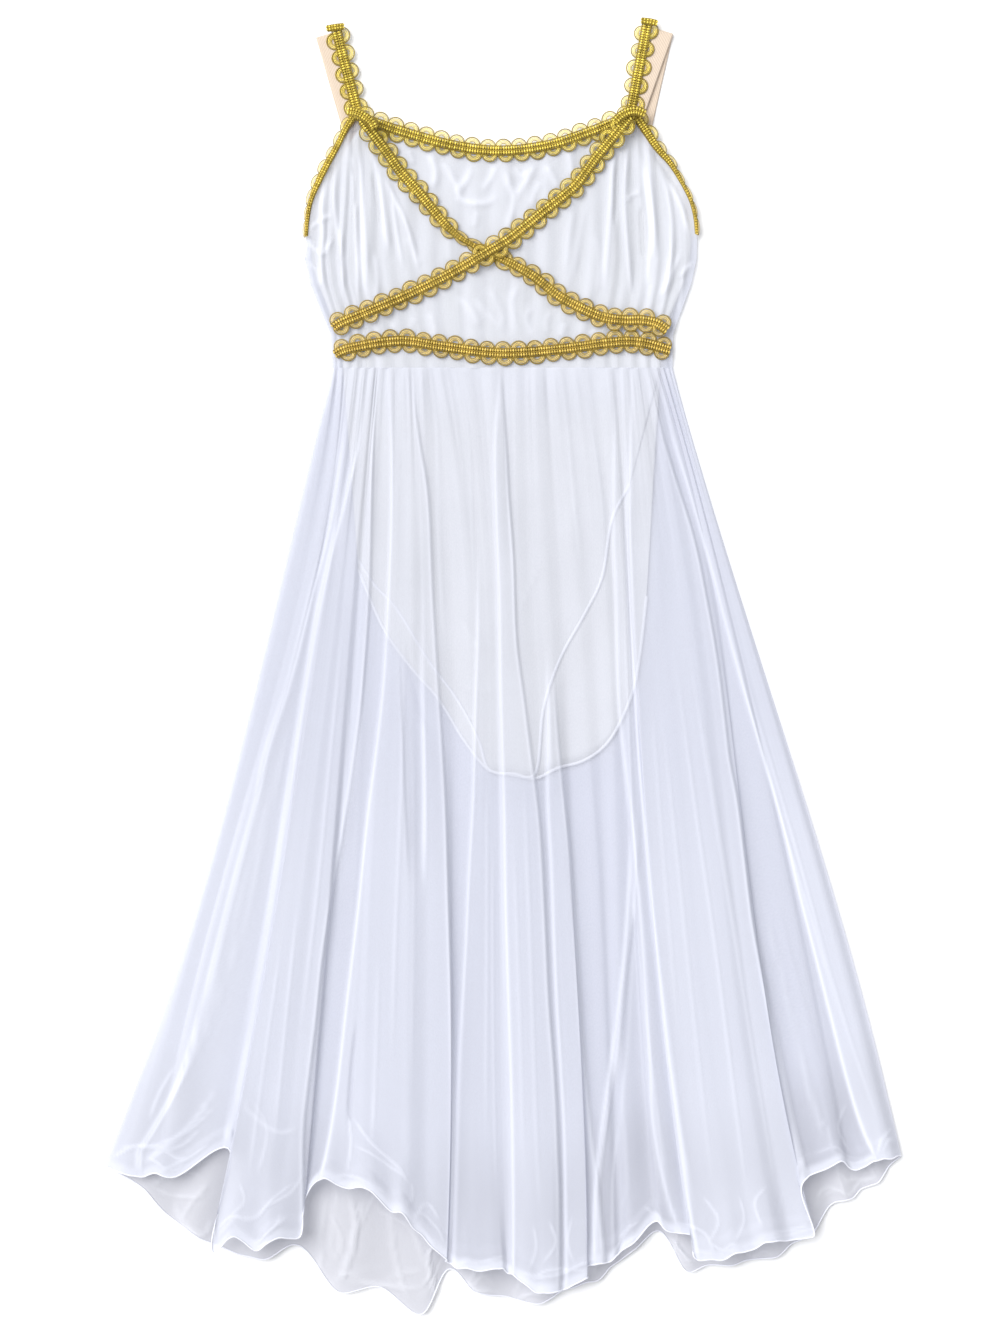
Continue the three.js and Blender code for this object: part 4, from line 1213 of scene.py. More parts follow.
class TrimTree(NodeWork):
    """A Geometry Nodes tree that turns a path of edges into a sewn-on trim."""

    def __init__(self, name: str) -> None:
        """Start a tree with a path coming in and a trim going out.

        Args:
            name: the tree's name.
        """
        super().__init__(bpy.data.node_groups.new(name, "GeometryNodeTree"))
        self.tree.interface.new_socket(name="Path", in_out="INPUT", socket_type="NodeSocketGeometry")
        self.tree.interface.new_socket(name="Trim", in_out="OUTPUT", socket_type="NodeSocketGeometry")
        self.inlet = self.node("NodeGroupInput")
        self.keys: dict[str, str] = {}
        self.finish_in = self.size("Finish", "NodeSocketMaterial")

    def size(self, name: str, kind: str = "NodeSocketFloat") -> Socket:
        """Add a named input and return its socket.

        Args:
            name: the input's name.
            kind: its type of socket.

        Returns:
            Its socket inside the tree.
        """
        item = self.tree.interface.new_socket(name=name, in_out="INPUT", socket_type=kind)
        self.keys[name] = item.identifier
        return self.inlet.outputs[name]

    def out(
        self, kind: str, settings: dict | None = None, sockets: dict | None = None, output: int | str = 0
    ) -> Socket:
        """One output socket of a new node."""
        return self.node(kind, settings, sockets).outputs[output]

    def path(self) -> Socket:
        """The incoming edges as a curve."""
        return self.out("GeometryNodeMeshToCurve", None, {"Mesh": self.inlet.outputs["Path"]})

    def tube(self, curve: Socket, radius: Term, sides: int) -> Socket:
        """Round cord along a curve.

        Args:
            curve: the middle.
            radius: the cord's radius.
            sides: sides of its section.

        Returns:
            The cord.
        """
        ring = self.out("GeometryNodeCurvePrimitiveCircle", None, {"Resolution": sides, "Radius": radius})
        sockets = {"Curve": curve, "Profile Curve": ring, "Scale": 1.0, "Fill Caps": True}
        return self.out("GeometryNodeCurveToMesh", None, sockets)

    def shaded(self, geometry: Socket, shade: Term, domain: str = "POINT") -> Socket:
        """Store how bright a part's thread is."""
        sockets = {"Geometry": geometry, "Name": "shade", "Value": shade}
        return self.out("GeometryNodeStoreNamedAttribute", {"data_type": "FLOAT", "domain": domain}, sockets)

    def close(self, parts: list) -> None:
        """Join the parts, realise them and set the finish.

        Args:
            parts: the parts of the trim.
        """
        joined = self.out("GeometryNodeJoinGeometry", None, {"Geometry": parts})
        real = self.out("GeometryNodeRealizeInstances", None, {"Geometry": joined})
        soft = self.out("GeometryNodeSetShadeSmooth", None, {"Geometry": real})
        sockets = {"Geometry": soft, "Material": self.finish_in}
        dressed = self.out("GeometryNodeSetMaterial", None, sockets)
        self.node("NodeGroupOutput", None, {"Trim": dressed})

    def sew(self, name: str, points: Array, reach: Array, values: dict) -> Piece:
        """Make a trim along a path.

        Args:
            name: the piece's name.
            points: the path in millimetres.
            reach: the trim's width at each point, as a share of its full width.
            values: a value for each named input.

        Returns:
            The trim as a plain mesh.
        """
        mesh = bpy.data.meshes.new(name)
        order = range(len(points) - 1)
        mesh.from_pydata((points * MM).tolist(), [(i, i + 1) for i in order], [])
        piece = bpy.data.objects.new(name, mesh)
        bpy.context.scene.collection.objects.link(piece)
        set_value(piece, "reach", reach)
        modifier = piece.modifiers.new("trim", "NODES")
        modifier.node_group = self.tree
        for key, value in values.items():
            modifier[self.keys[key]] = value
        depsgraph = bpy.context.evaluated_depsgraph_get()
        made = bpy.data.meshes.new_from_object(piece.evaluated_get(depsgraph))
        piece.modifiers.clear()
        piece.data = made
        bpy.data.meshes.remove(mesh)
        made.name = name
        return piece


class CordTree(TrimTree):
    """Plain round thread or rolled edge."""

    def __init__(self) -> None:
        """Build the tree."""
        super().__init__("rolled edge")
        radius = self.size("Radius")
        self.close([self.shaded(self.tube(self.path(), radius, 7), 0.8)])


class BraidTree(TrimTree):
    """Gimp braid: cross-wound cords side by side, with thread loops along both edges."""

    CORDS = (-2.0, -1.0, 0.0, 1.0, 2.0)
    LOOP_DROP = -0.0001
    LOOP_ARC = (math.radians(-22), math.radians(224))  # where a loop starts, and how far it sweeps
    LOOP_THREADS = ((1.0, 0.84, 0.16), (0.80, 0.60, 0.95), (0.62, 0.55, 1.0), (0.44, 0.6, 0.45))

    def __init__(self) -> None:
        """Build the tree."""
        super().__init__("gimp braid")
        self.core = self.size("Core half width")
        self.pitch = self.size("Loop pitch")
        self.rib_pitch = self.size("Rib pitch")
        self.reach_out = self.size("Loop reach")
        self.thread = self.size("Thread radius")
        self.stagger = self.size("Stagger")
        self.left = self.size("Left loops", "NodeSocketBool")
        self.right = self.size("Right loops", "NodeSocketBool")
        self.seed = self.size("Seed", "NodeSocketInt")
        line = self.path()
        parts = [self._cord(line, place) for place in self.CORDS]
        parts.append(self._ribs(line))
        parts += [self._loops(line, self.left, 0.0, 0), self._loops(line, self.right, math.pi, 1)]
        self.close(parts)

    def _maths(self, operation: str, a: Term, b: Term) -> Socket:
        """Result of a Math node."""
        return self.out("ShaderNodeMath", {"operation": operation}, {0: a, 1: b})

    def _times(self, a: Term, b: Term) -> Socket:
        """Product of two numbers."""
        return self._maths("MULTIPLY", a, b)

    def _vector(self, x: Term, y: Term, z: Term) -> Socket:
        """Vector of three numbers."""
        return self.out("ShaderNodeCombineXYZ", None, {0: x, 1: y, 2: z})

    def _width(self) -> Socket:
        """The path's own share of the full width."""
        return self.out("GeometryNodeInputNamedAttribute", {"data_type": "FLOAT"}, {"Name": "reach"})

    def _cord(self, line: Socket, place: float) -> Socket:
        """One cord of the core, at a place across it.

        Args:
            line: the braid's middle.
            place: from -2 to 2.

        Returns:
            The cord.
        """
        tangent = self.out("GeometryNodeInputTangent")
        cross = {"operation": "CROSS_PRODUCT"}
        side = self.out("ShaderNodeVectorMath", cross, {0: (0.0, 0.0, 1.0), 1: tangent})
        offset = self._times(self._times(self.core, place / 2.0), self._width())
        scale = {"operation": "SCALE"}
        shift = self.node("ShaderNodeVectorMath", scale, {0: side, "Scale": offset}).outputs[0]
        moved = self.out("GeometryNodeSetPosition", None, {"Geometry": line, "Offset": shift})
        # painted shade: the cords lie dark under the beads, so the gaps between beads and the core's edges
        # read as shaded grooves
        edge = abs(place) == 2.0
        radius = self._times(self.core, 0.15 if edge else 0.24)
        return self.shaded(self.tube(moved, radius, 6), 0.10 if edge else 0.22)

    def _frames(self, line: Socket, spacing: Socket) -> tuple[Socket, Socket]:
        """Points along the path at a spacing, and the way that each faces.

        Args:
            line: the path.
            spacing: length from point to point.

        Returns:
            The points and their rotations.
        """
        settings = {"mode": "LENGTH"}
        dots = self.node("GeometryNodeCurveToPoints", settings, {"Curve": line, "Length": spacing})
        axes = {"primary_axis": "X", "secondary_axis": "Z"}
        sockets = {"Primary Axis": dots.outputs["Tangent"], "Secondary Axis": (0.0, 0.0, 1.0)}
        return dots.outputs["Points"], self.out("FunctionNodeAxesToRotation", axes, sockets)

    def _jitter(self, low: float, high: float, offset: int) -> Socket:
        """Random number for each point.

        Args:
            low: the least.
            high: the most.
            offset: added to the seed.

        Returns:
            The number.
        """
        seed = self._maths("ADD", self.seed, float(offset))
        node = self.node("FunctionNodeRandomValue", {"data_type": "FLOAT"}, {2: low, 3: high, "Seed": seed})
        return node.outputs[1]

    def _ribs(self, line: Socket) -> Socket:
        """Cross winding over the cords, in two rows.

        Args:
            line: the braid's middle.

        Returns:
            The winding.
        """
        dots, facing = self._frames(line, self.rib_pitch)
        bead = self.out("GeometryNodeMeshUVSphere", None, {"Segments": 6, "Rings": 4, "Radius": 1.0})
        along = self._times(self.rib_pitch, 0.42)
        across = self._times(self.core, 0.45)
        up = self._times(self.core, 0.30)
        rows = []
        for side in (-0.49, 0.49):
            place = self._vector(0.0, self._times(self.core, side), up)
            sockets = {"Geometry": bead, "Translation": place, "Scale": self._vector(along, across, up)}
            rows.append(self.out("GeometryNodeTransform", None, sockets))
        pair = self.out("GeometryNodeJoinGeometry", None, {"Geometry": rows})
        sockets = {
            "Points": dots, "Instance": pair, "Rotation": facing,
            "Scale": self._vector(1.0, self._width(), self._jitter(0.8, 1.2, 11)),
        }
        wound = self.out("GeometryNodeInstanceOnPoints", None, sockets)
        # random brightness of each bead: partly the thread's own tone, partly painted glints
        return self.shaded(wound, self._jitter(0.45, 1.15, 12), "INSTANCE")

    def _loop(self) -> Socket:
        """One scallop: thread arcs inside each other, each of a size, a thickness and a shade.

        Returns:
            The scallop.
        """
        arcs = []
        start, sweep = self.LOOP_ARC
        for size, thick, shade in self.LOOP_THREADS:
            radius = self._times(self.reach_out, size)
            sockets = {"Resolution": 12, "Radius": radius, "Start Angle": start, "Sweep Angle": sweep}
            arc = self.out("GeometryNodeCurveArc", {"mode": "RADIUS"}, sockets)
            tube = self.tube(arc, self._times(self.thread, thick), 5)
            arcs.append(self.shaded(tube, shade))
        joined = self.out("GeometryNodeJoinGeometry", None, {"Geometry": arcs})
        stretch = self._maths("DIVIDE", self._times(self.pitch, 0.5), self.reach_out)
        place = self._vector(0.0, self._times(self.core, 0.92), self.LOOP_DROP)
        sockets = {"Geometry": joined, "Translation": place, "Scale": self._vector(stretch, 1.0, 1.0)}
        return self.out("GeometryNodeTransform", None, sockets)

    def _loops(self, line: Socket, wanted: Socket, turn: float, offset: int) -> Socket:
        """A row of scallops along one edge.

        Args:
            line: the braid's middle.
            wanted: whether to make them.
            turn: half a turn for the right edge.
            offset: added to the seed.

        Returns:
            The scallops.
        """
        start = self._times(self.pitch, 0.55)
        start = self._maths("ADD", start, self.stagger if turn else 0.0)
        whole = self.out("GeometryNodeCurveLength", None, {"Curve": line})
        end = self._maths("SUBTRACT", whole, self._times(self.pitch, 0.45))
        settings = {"mode": "LENGTH"}
        part = self.out("GeometryNodeTrimCurve", settings, {"Curve": line, 4: start, 5: end})
        dots, facing = self._frames(part, self.pitch)
        roll, lean = self._jitter(-0.08, 0.03, 20 + offset), self._jitter(-0.06, 0.06, 22 + offset)
        tilt = self._vector(roll, lean, turn)
        turned = self.out("FunctionNodeEulerToRotation", None, {"Euler": tilt})
        local = {"rotation_space": "LOCAL"}
        facing = self.out("FunctionNodeRotateRotation", local, {"Rotation": facing, "Rotate By": turned})
        size = self._jitter(0.93, 1.06, 24 + offset)
        sockets = {
            "Points": dots, "Selection": wanted, "Instance": self._loop(), "Rotation": facing,
            "Scale": self._vector(size, self._times(size, self._width()), 1.0),
        }
        return self.out("GeometryNodeInstanceOnPoints", None, sockets)


# painted shade: a copy of the sheer mesh for the skirt's back whose low share is a dark grey, so that its
# hem reads as shaded
BACK_MESH = SheerFinish(
    "sheer mesh, single", shade=(0.52, 0.522, 0.565), light=(0.77, 0.775, 0.83),
    cover_single=0.88, cover_gathered=0.56,
)
BODICE_MESH = SheerFinish("sheer mesh, doubled", shade=(0.61, 0.622, 0.68), light=(0.78, 0.795, 0.86))
# painted light: a brighter copy of the white thread, so the leg edges show as light lines
LEG_ELASTIC = ThreadFinish("leg elastic", colour=(0.99, 0.99, 1.0))


@dataclass
class Sewing:
    """Finishes and trim trees that all the pieces share."""

    mesh: Material = field(default_factory=lambda: SheerFinish("sheer mesh").material())
    shaded_mesh: Material = field(default_factory=lambda: BACK_MESH.material())
    knit: Material = field(default_factory=lambda: KnitFinish("leotard knit").material())
    gold: Material = field(default_factory=lambda: GoldFinish("gold gimp").material())
    elastic: Material = field(default_factory=lambda: ElasticFinish("nude elastic").material())
    thread: Material = field(default_factory=lambda: ThreadFinish("white thread").material())
    bodice_mesh: Material = field(default_factory=lambda: BODICE_MESH.material())
    leg: Material = field(default_factory=lambda: LEG_ELASTIC.material())
    cord: CordTree = field(default_factory=CordTree)
    braid: BraidTree = field(default_factory=BraidTree)

    def edge(self, name: str, points: Array, radius: float, finish: Material, slot: Slot) -> Piece:
        """Sew a round edge along points.

        Args:
            name: the piece's name.
            points: its middle line, in millimetres.
            radius: its radius, in millimetres.
            finish: its material.
            slot: not used.

        Returns:
            The edge.
        """
        values = {"Finish": finish, "Radius": radius * MM}
        piece = self.cord.sew(name, points, np.ones(len(points)), values)
        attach(piece, BODY)
        return piece


def dress(piece: Piece, finish: Material, slot: Slot, *nodes: str) -> None:
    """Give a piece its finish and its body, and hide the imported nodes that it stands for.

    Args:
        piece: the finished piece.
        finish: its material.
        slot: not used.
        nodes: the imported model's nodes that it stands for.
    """
    piece.data.materials.clear()
    piece.data.materials.append(finish)
    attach(piece, BODY)
    if nodes:
        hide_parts(*nodes)


@dataclass
class SkirtPanel:
    """Gathered skirt panel: folds from the waist seam to the hem."""

    name: str
    node: str
    folds: tuple[Fold, ...]
    creases: tuple[Crease, ...]
    outward: Outward
    columns: int = 540
    rows: int = 175
    upper_rows: float = 0.58  # share of the rows above the hem, where they lie closer
    hem_from: float = 0.84
    stations: tuple[float, ...] = (0.0, 0.27, 0.62, 1.0)
    seed: int = 3
    flat: Pair = (0.80, 0.62)
    flat_area: float = 0.30
    gathers: tuple[Waves, ...] = (Waves(0.8, 1.35, 2.2, 0), Waves(0.4, 2.9, 4.0, 1))
    gathers_start: float = 0.015
    gathers_end: float = 0.32
    soft_folds: tuple[Waves, ...] = (
        Waves(0.02, 2.1, 2.6, 2), Waves(0.012, 4.3, 4.4, 3), Waves(0.22, 0.55, 1.6, 4),
    )
    hem_from_lift: Pair = (0.91, 0.09)
    hem_lift: float = 1.6
    hem_lifts: tuple[Waves, ...] = (Waves(2.0, 0.9, 0, 5), Waves(0.6, 1.9, 0, 6))
    hem_drops: tuple[Waves, ...] = (Waves(2.2, 0.9, 0, 5), Waves(1.9, 1.9, 0, 6))
    lip_from: Pair = (0.972, 0.012)
    lip_lift: float = 1.1
    bare: float = 0.12  # the stored share of plain single cloth
    panel_share: float = 0.6
    upper_ease: Pair = (0.38, 0.24)
    grain_waves: tuple[Waves, ...] = (Waves(0.02, 1.7, 1.5, 9),)
    seam_length: float = 0.08
    seam_share: float = 0.4
    hem_band: Pair = (0.985, 0.01)
    hem_share: float = 0.7
    hem_gap: float = 0.2  # height of the rolled hem's middle above the cloth
    hem_radius: float = 0.5

    def lines(self) -> tuple[Array, ...]:
        """Crest and valley lines.

        Returns:
            Their x at the stations, end y, lift, gather and tuck.
        """
        rows = [(LEFT_EDGE, 0.0, 0.0, 0.0)]
        places = []
        for fold, after in zip(self.folds, (*self.folds[1:], RIGHT_EDGE)):
            crest = [fold.waist, fold.upper, fold.lower, fold.hem]
            beyond = [after.waist, after.upper, after.lower, after.hem]
            depth = fold.dip * min(fold.lift, after.lift or fold.lift)
            places.append((crest, fold.end, fold.lift, 1.0, 0.0))
            between = [(a + b) / 2 for a, b in zip(crest, beyond)]
            places.append((between, (fold.end + after.end) / 2 + fold.pull, depth, 0.0, fold.tuck))
        ends = []
        for edge in (LEFT_EDGE, RIGHT_EDGE):
            ends.append(([edge.waist, edge.upper, edge.lower, edge.hem], edge.end, 0.0, 0.0, 0.0))
        rows = [ends[0], *places, ends[1]]
        return tuple(np.array([row[k] for row in rows], float) for k in range(5))

    def plan(self) -> dict[str, Array]:
        """Plan of the panel.

        Returns:
            x, y, share down v, line number c, lift and gather of every point.
        """
        across, end, lift, gather, tuck = self.lines()
        c = np.linspace(0, len(end) - 1, self.columns)
        upper = int(self.rows * self.upper_rows)
        v = np.linspace(0, self.hem_from, upper, endpoint=False)
        v = np.concatenate([v, np.linspace(self.hem_from, 1, self.rows - upper)])
        at = np.array(self.stations)
        weights = np.ones((len(at), len(v)))
        for k, here in enumerate(at):
            for other in np.delete(at, k):
                weights[k] *= (v - other) / (here - other)
        slid = across @ weights + tuck[:, None] * smooth((v - 0.22) / 0.6)[None, :]
        x = np.stack([through(slid[:, row], c) for row in range(len(v))])
        y = mix(WAIST_Y + 0.5, through(end, c)[None, :], v[:, None])
        grid = np.ones_like(x)
        return {
            "x": x, "y": y, "c": grid * c, "v": grid * v[:, None],
            "lift": grid * eased(lift, c), "gather": grid * eased(gather, c),
        }

    def hem_wave(self, plan: dict[str, Array]) -> tuple[Array, Array]:
        """How far the hem's ruffle raises the cloth and draws it down.

        Args:
            plan: the plan of the panel.

        Returns:
            Its rise and its drop at each point.
        """
        c, v = plan["c"], plan["v"]
        near = ramp(v, *self.hem_from_lift)
        raised = near * (self.hem_lift + wavy(self.hem_lifts, c, v, self.seed))
        return raised + self.lip_lift * ramp(v, *self.lip_from), near * wavy(self.hem_drops, c, v, self.seed)

    def fine_folds(self, plan: dict[str, Array]) -> Array:
        """Stitched gathers that fade below the waist, and fine streaks down the cloth.

        Args:
            plan: the plan of the panel.

        Returns:
            The height at each point.
        """
        c, v = plan["c"], plan["v"]
        fade = (1 - smooth(v / self.gathers_end)) * smooth(v / self.gathers_start)
        stitched = wavy(self.gathers, c, v, self.seed) * fade
        return stitched + wavy(self.soft_folds, c, v, self.seed) * smooth(v / 0.1)

    @staticmethod
    def pleat_cover(v: Array) -> Array:
        """How much closer a crease draws the cloth, most of all by the hem; it also paints ridges lighter as
        highlights and troughs darker as shade.
        """
        return 0.7 + 1.5 * smooth((v - 0.84) / 0.08)

    def density(self, plan: dict[str, Array], cover: Array, lines: Array) -> Array:
        """How closely the cloth lies together, which also sets its painted light and shade.

        Args:
            plan: the plan of the panel.
            cover: how closely the pressed folds lie.
            lines: what the crisp edges and creases add, as painted highlights, and as painted shade in
                troughs.

        Returns:
            A share from 0 to 1 for each point.
        """
        v = plan["v"]
        upper = 1 - ramp(v, *self.upper_ease)
        seam = 1 - smooth(v / self.seam_length)
        dense = self.bare + self.panel_share * cover * (1 - 0.6 * upper) + lines
        dense = dense + wavy(self.grain_waves, plan["c"], v, self.seed) + self.seam_share * seam
        return np.clip(mix(dense, self.hem_share, ramp(v, *self.hem_band)), 0.0, 1.0)

    def rolled_hem(self, sewing: "Sewing", grid: Array) -> Piece:
        """Make the rolled hem along the last row of the cloth."""
        path = grid[-1] + (0, 0, self.hem_gap)
        return sewing.edge(self.name + "_hem", path, self.hem_radius, sewing.thread, Slot.SHEER_MESH)

    def declare(self, piece: Piece, hem: Piece, rests_on: list[str]) -> None:
        """Do nothing; the cloth is not declared to the frame.

        Args:
            piece: not used.
            hem: not used.
            rests_on: not used.
        """


@dataclass
class SkirtBack(SkirtPanel):
    """Back of the skirt, flat on the surface but for its hem."""

    rise: Pair = (0.70, 0.28)
    seat: float = 0.5
    lowest: float = 0.35
    crease_lift: float = 0.9
    fold_share: float = 0.35
    hem_shade: Pair = (0.80, 0.12)  # where the back starts to be painted darker towards its hem, as shade under the front's hem, and over what share it darkens
    flat: Pair = (0.62, 0.62)
    flat_area: float = 0.24
    hem_gap: float = 0.4
    hem_radius: float = 0.45

    def build(self, sewing: Sewing, under: Relief) -> Relief:
        """Make the panel and its rolled hem.

        Args:
            sewing: the finishes and trims.
            under: the map that the next layer rests on.

        Returns:
            The map with this panel in it.
        """
        plan = self.plan()
        x, y, v = plan["x"], plan["y"], plan["v"]
        raised, drawn = self.hem_wave(plan)
        pleats = relief_of(self.creases, x, y)
        z = self.seat + plan["lift"] * ramp(v, *self.rise) + self.fold_share * raised
        z = z + self.crease_lift * pleats + self.fold_share * self.fine_folds(plan)
        grid = np.stack([x, y + 0.6 * drawn, np.maximum(z, self.lowest)], axis=2)
        # painted shade: the back is painted darker and denser towards its hem, as if in the front's shade;
        # its creases are painted lighter
        density = 1.05 - ramp(v, *self.hem_shade) + 0.5 * pleats
        piece = cloth_object(self.name, grid, self.outward, np.clip(density, 0, 1), self.flat)
        dress(piece, sewing.shaded_mesh, Slot.SHEER_MESH, self.node)
        hem = self.rolled_hem(sewing, grid)
        self.declare(piece, hem, [])
        under.lay(grid)
        log.info("%s: %d points, top %.1f mm", self.name, grid[..., 0].size, grid[..., 2].max())
        return under


@dataclass
class SkirtFront(SkirtPanel):
    """Front of the skirt, which stands in soft folds over the layers below."""

    edge_share: float = 0.03
    seat_gap: float = 0.8
    sink: float = 0.3  # how far a hollow may sink below the seat
    fold_lift: float = 0.85
    crease_lift: float = 0.5
    crisp_lift: float = 0.3
    crisp_highlight_share: float = 0.34  # painted highlight: what a crisp edge adds to the stored share, so the cloth is painted lighter along it
    # painted highlight on crease ridges and painted shade in troughs, through the stored share
    crease_highlight_share: float = 0.2
    uneven_waves: tuple[Waves, ...] = (Waves(0.10, 0.35, 3.0, 12),)

    def build(self, sewing: Sewing, under: Relief) -> Array:
        """Make the panel and its rolled hem.

        Args:
            sewing: the finishes and trims.
            under: map of what the panel rests on.

        Returns:
            The panel's points.
        """
        plan = self.plan()
        x, y, v = plan["x"], plan["y"], plan["v"]
        u = plan["c"] / plan["c"].max()
        inside = smooth(2 * np.minimum(u, 1 - u) / self.edge_share)
        rise = (0.12 + 0.88 * v**0.85) * smooth(v / 0.25)
        seat = under.sample(under.eased_top(LAYER, 4, 9), x, y) + self.seat_gap
        stitched = 0.45 * GATHER_LIFT * plan["gather"] * (1 - smooth(v / 0.35))
        uneven = 1 + wavy(self.uneven_waves, plan["c"], v, self.seed)
        height, cover, crisp = pressed(PANELS, x, y)
        raised, drawn = self.hem_wave(plan)
        pleats = relief_of(self.creases, x, y)
        detail = self.fine_folds(plan) + raised + self.crease_lift * pleats
        detail = np.maximum(detail + height + self.crisp_lift * crisp, -2 * self.sink)
        folds = self.fold_lift * plan["lift"] * rise * uneven + stitched
        z = seat + folds * inside + detail * (0.3 + 0.7 * inside)
        grid = np.stack([x, y + drawn, np.maximum(z, seat - self.sink)], axis=2)
        # painted light and shade: crisp edges and crease ridges add to the stored share, which paints the
        # cloth lighter, and troughs take from it
        crease_light = np.clip(self.pleat_cover(v) * pleats, -1, 1)
        density = self.density(plan, cover, self.crisp_highlight_share * crisp + self.crease_highlight_share * crease_light)
        piece = cloth_object(self.name, grid, self.outward, density, self.flat)
        dress(piece, sewing.mesh, Slot.SHEER_MESH, self.node)
        hem = self.rolled_hem(sewing, grid)
        self.declare(piece, hem, ["skirt_back_mesh"])
        log.info("%s: %d points, top %.1f mm", self.name, grid[..., 0].size, grid[..., 2].max())
        return grid


@dataclass
class Leotard:
    """Opaque leotard, front and back, with elastic along its leg edges."""

    wall: float = 0.6
    lowered: float = 0.75
    columns: int = 90
    elastic_radius: float = 1.1
    body_rows: tuple[float, ...] = tuple(np.linspace(0, 1, 30))
    brief_rows: tuple[float, ...] = tuple(np.linspace(0, 1, 40)[1:])
    creases: tuple[Crease, ...] = (
        Crease(0.5, 2.0, ((-28, 30), (-20, 17), (-9, 10))),
        Crease(0.5, 2.0, ((-30, -6), (-18, -16), (-4, -15))),
        Crease(0.5, 2.2, ((24, 70), (16, 50), (10, 36))),
        Crease(0.4, 2.4, ((-60, 120), (-52, 90), (-50, 62))),
        Crease(0.4, 2.4, ((52, 128), (46, 96), (44, 70))),
    )

    def panel(self, edge: tuple, brief: tuple, level: Level, lower: float) -> Array:
        """Underside points of a panel from its top edge to its leg edge.

        Args:
            edge: the top edge.
            brief: the leg edge.
            level: its layer.
            lower: how far below the top edge it starts.

        Returns:
            The points, rows by columns.
        """
        number = np.linspace(0, len(brief) - 1, self.columns)
        column = through(np.asarray(brief, float), number)
        waist = column[:, 0]
        top = np.asarray(edge, float)
        share = (waist - waist[0]) / (waist[-1] - waist[0])
        top_x = mix(top[0, 0], top[-1, 0], share)
        top_y = np.interp(top_x, top[:, 0], top[:, 1]) - lower
        x, y = body_points(top_x, top_y, waist, np.array(self.body_rows), LINING_INSET)
        down = np.array(self.brief_rows)[:, None]
        x = np.concatenate([x, mix(x[-1], column[:, 1], down)])
        y = np.concatenate([y, mix(y[-1], column[:, 2], down)])
        sunk = self.lowered if level is Level.LEOTARD_FRONT else 0.0
        z = level.value - sunk + 0.05 + np.maximum(relief_of(self.creases, x, y), 0)
        return np.stack([x, y, z], axis=2)

    def build(self, sewing: Sewing, under: Relief) -> Relief:
        """Make both panels.

        Args:
            sewing: the finishes and trims.
            under: map of the layer below, which the leotard joins.

        Returns:
            The map with the leotard in it.
        """
        sides = (
            ("leotard_back", BACK_EDGE, BACK_BRIEF, Level.LEOTARD_BACK, 0.0, "bodice_back"),
            ("leotard_front", TOP_EDGE, FRONT_BRIEF, Level.LEOTARD_FRONT, 3.0, "leotard_back_knit"),
        )
        for node, edge, brief, level, lower, below in sides:
            bottom = self.panel(edge, brief, level, lower)
            piece = wall_object(node + "_knit", bottom, self.wall)
            dress(piece, sewing.knit, Slot.LEOTARD_KNIT, node)
            leg = bottom[-1] + (0, 0, SEAM)
            name = node + "_leg_elastic"
            band = sewing.edge(name, leg, self.elastic_radius, sewing.leg, Slot.LEOTARD_KNIT)
            under.lay(bottom + (0, 0, self.wall + SEAM))
            log.info("%s: %d points", piece.name, bottom[..., 0].size)
        return under


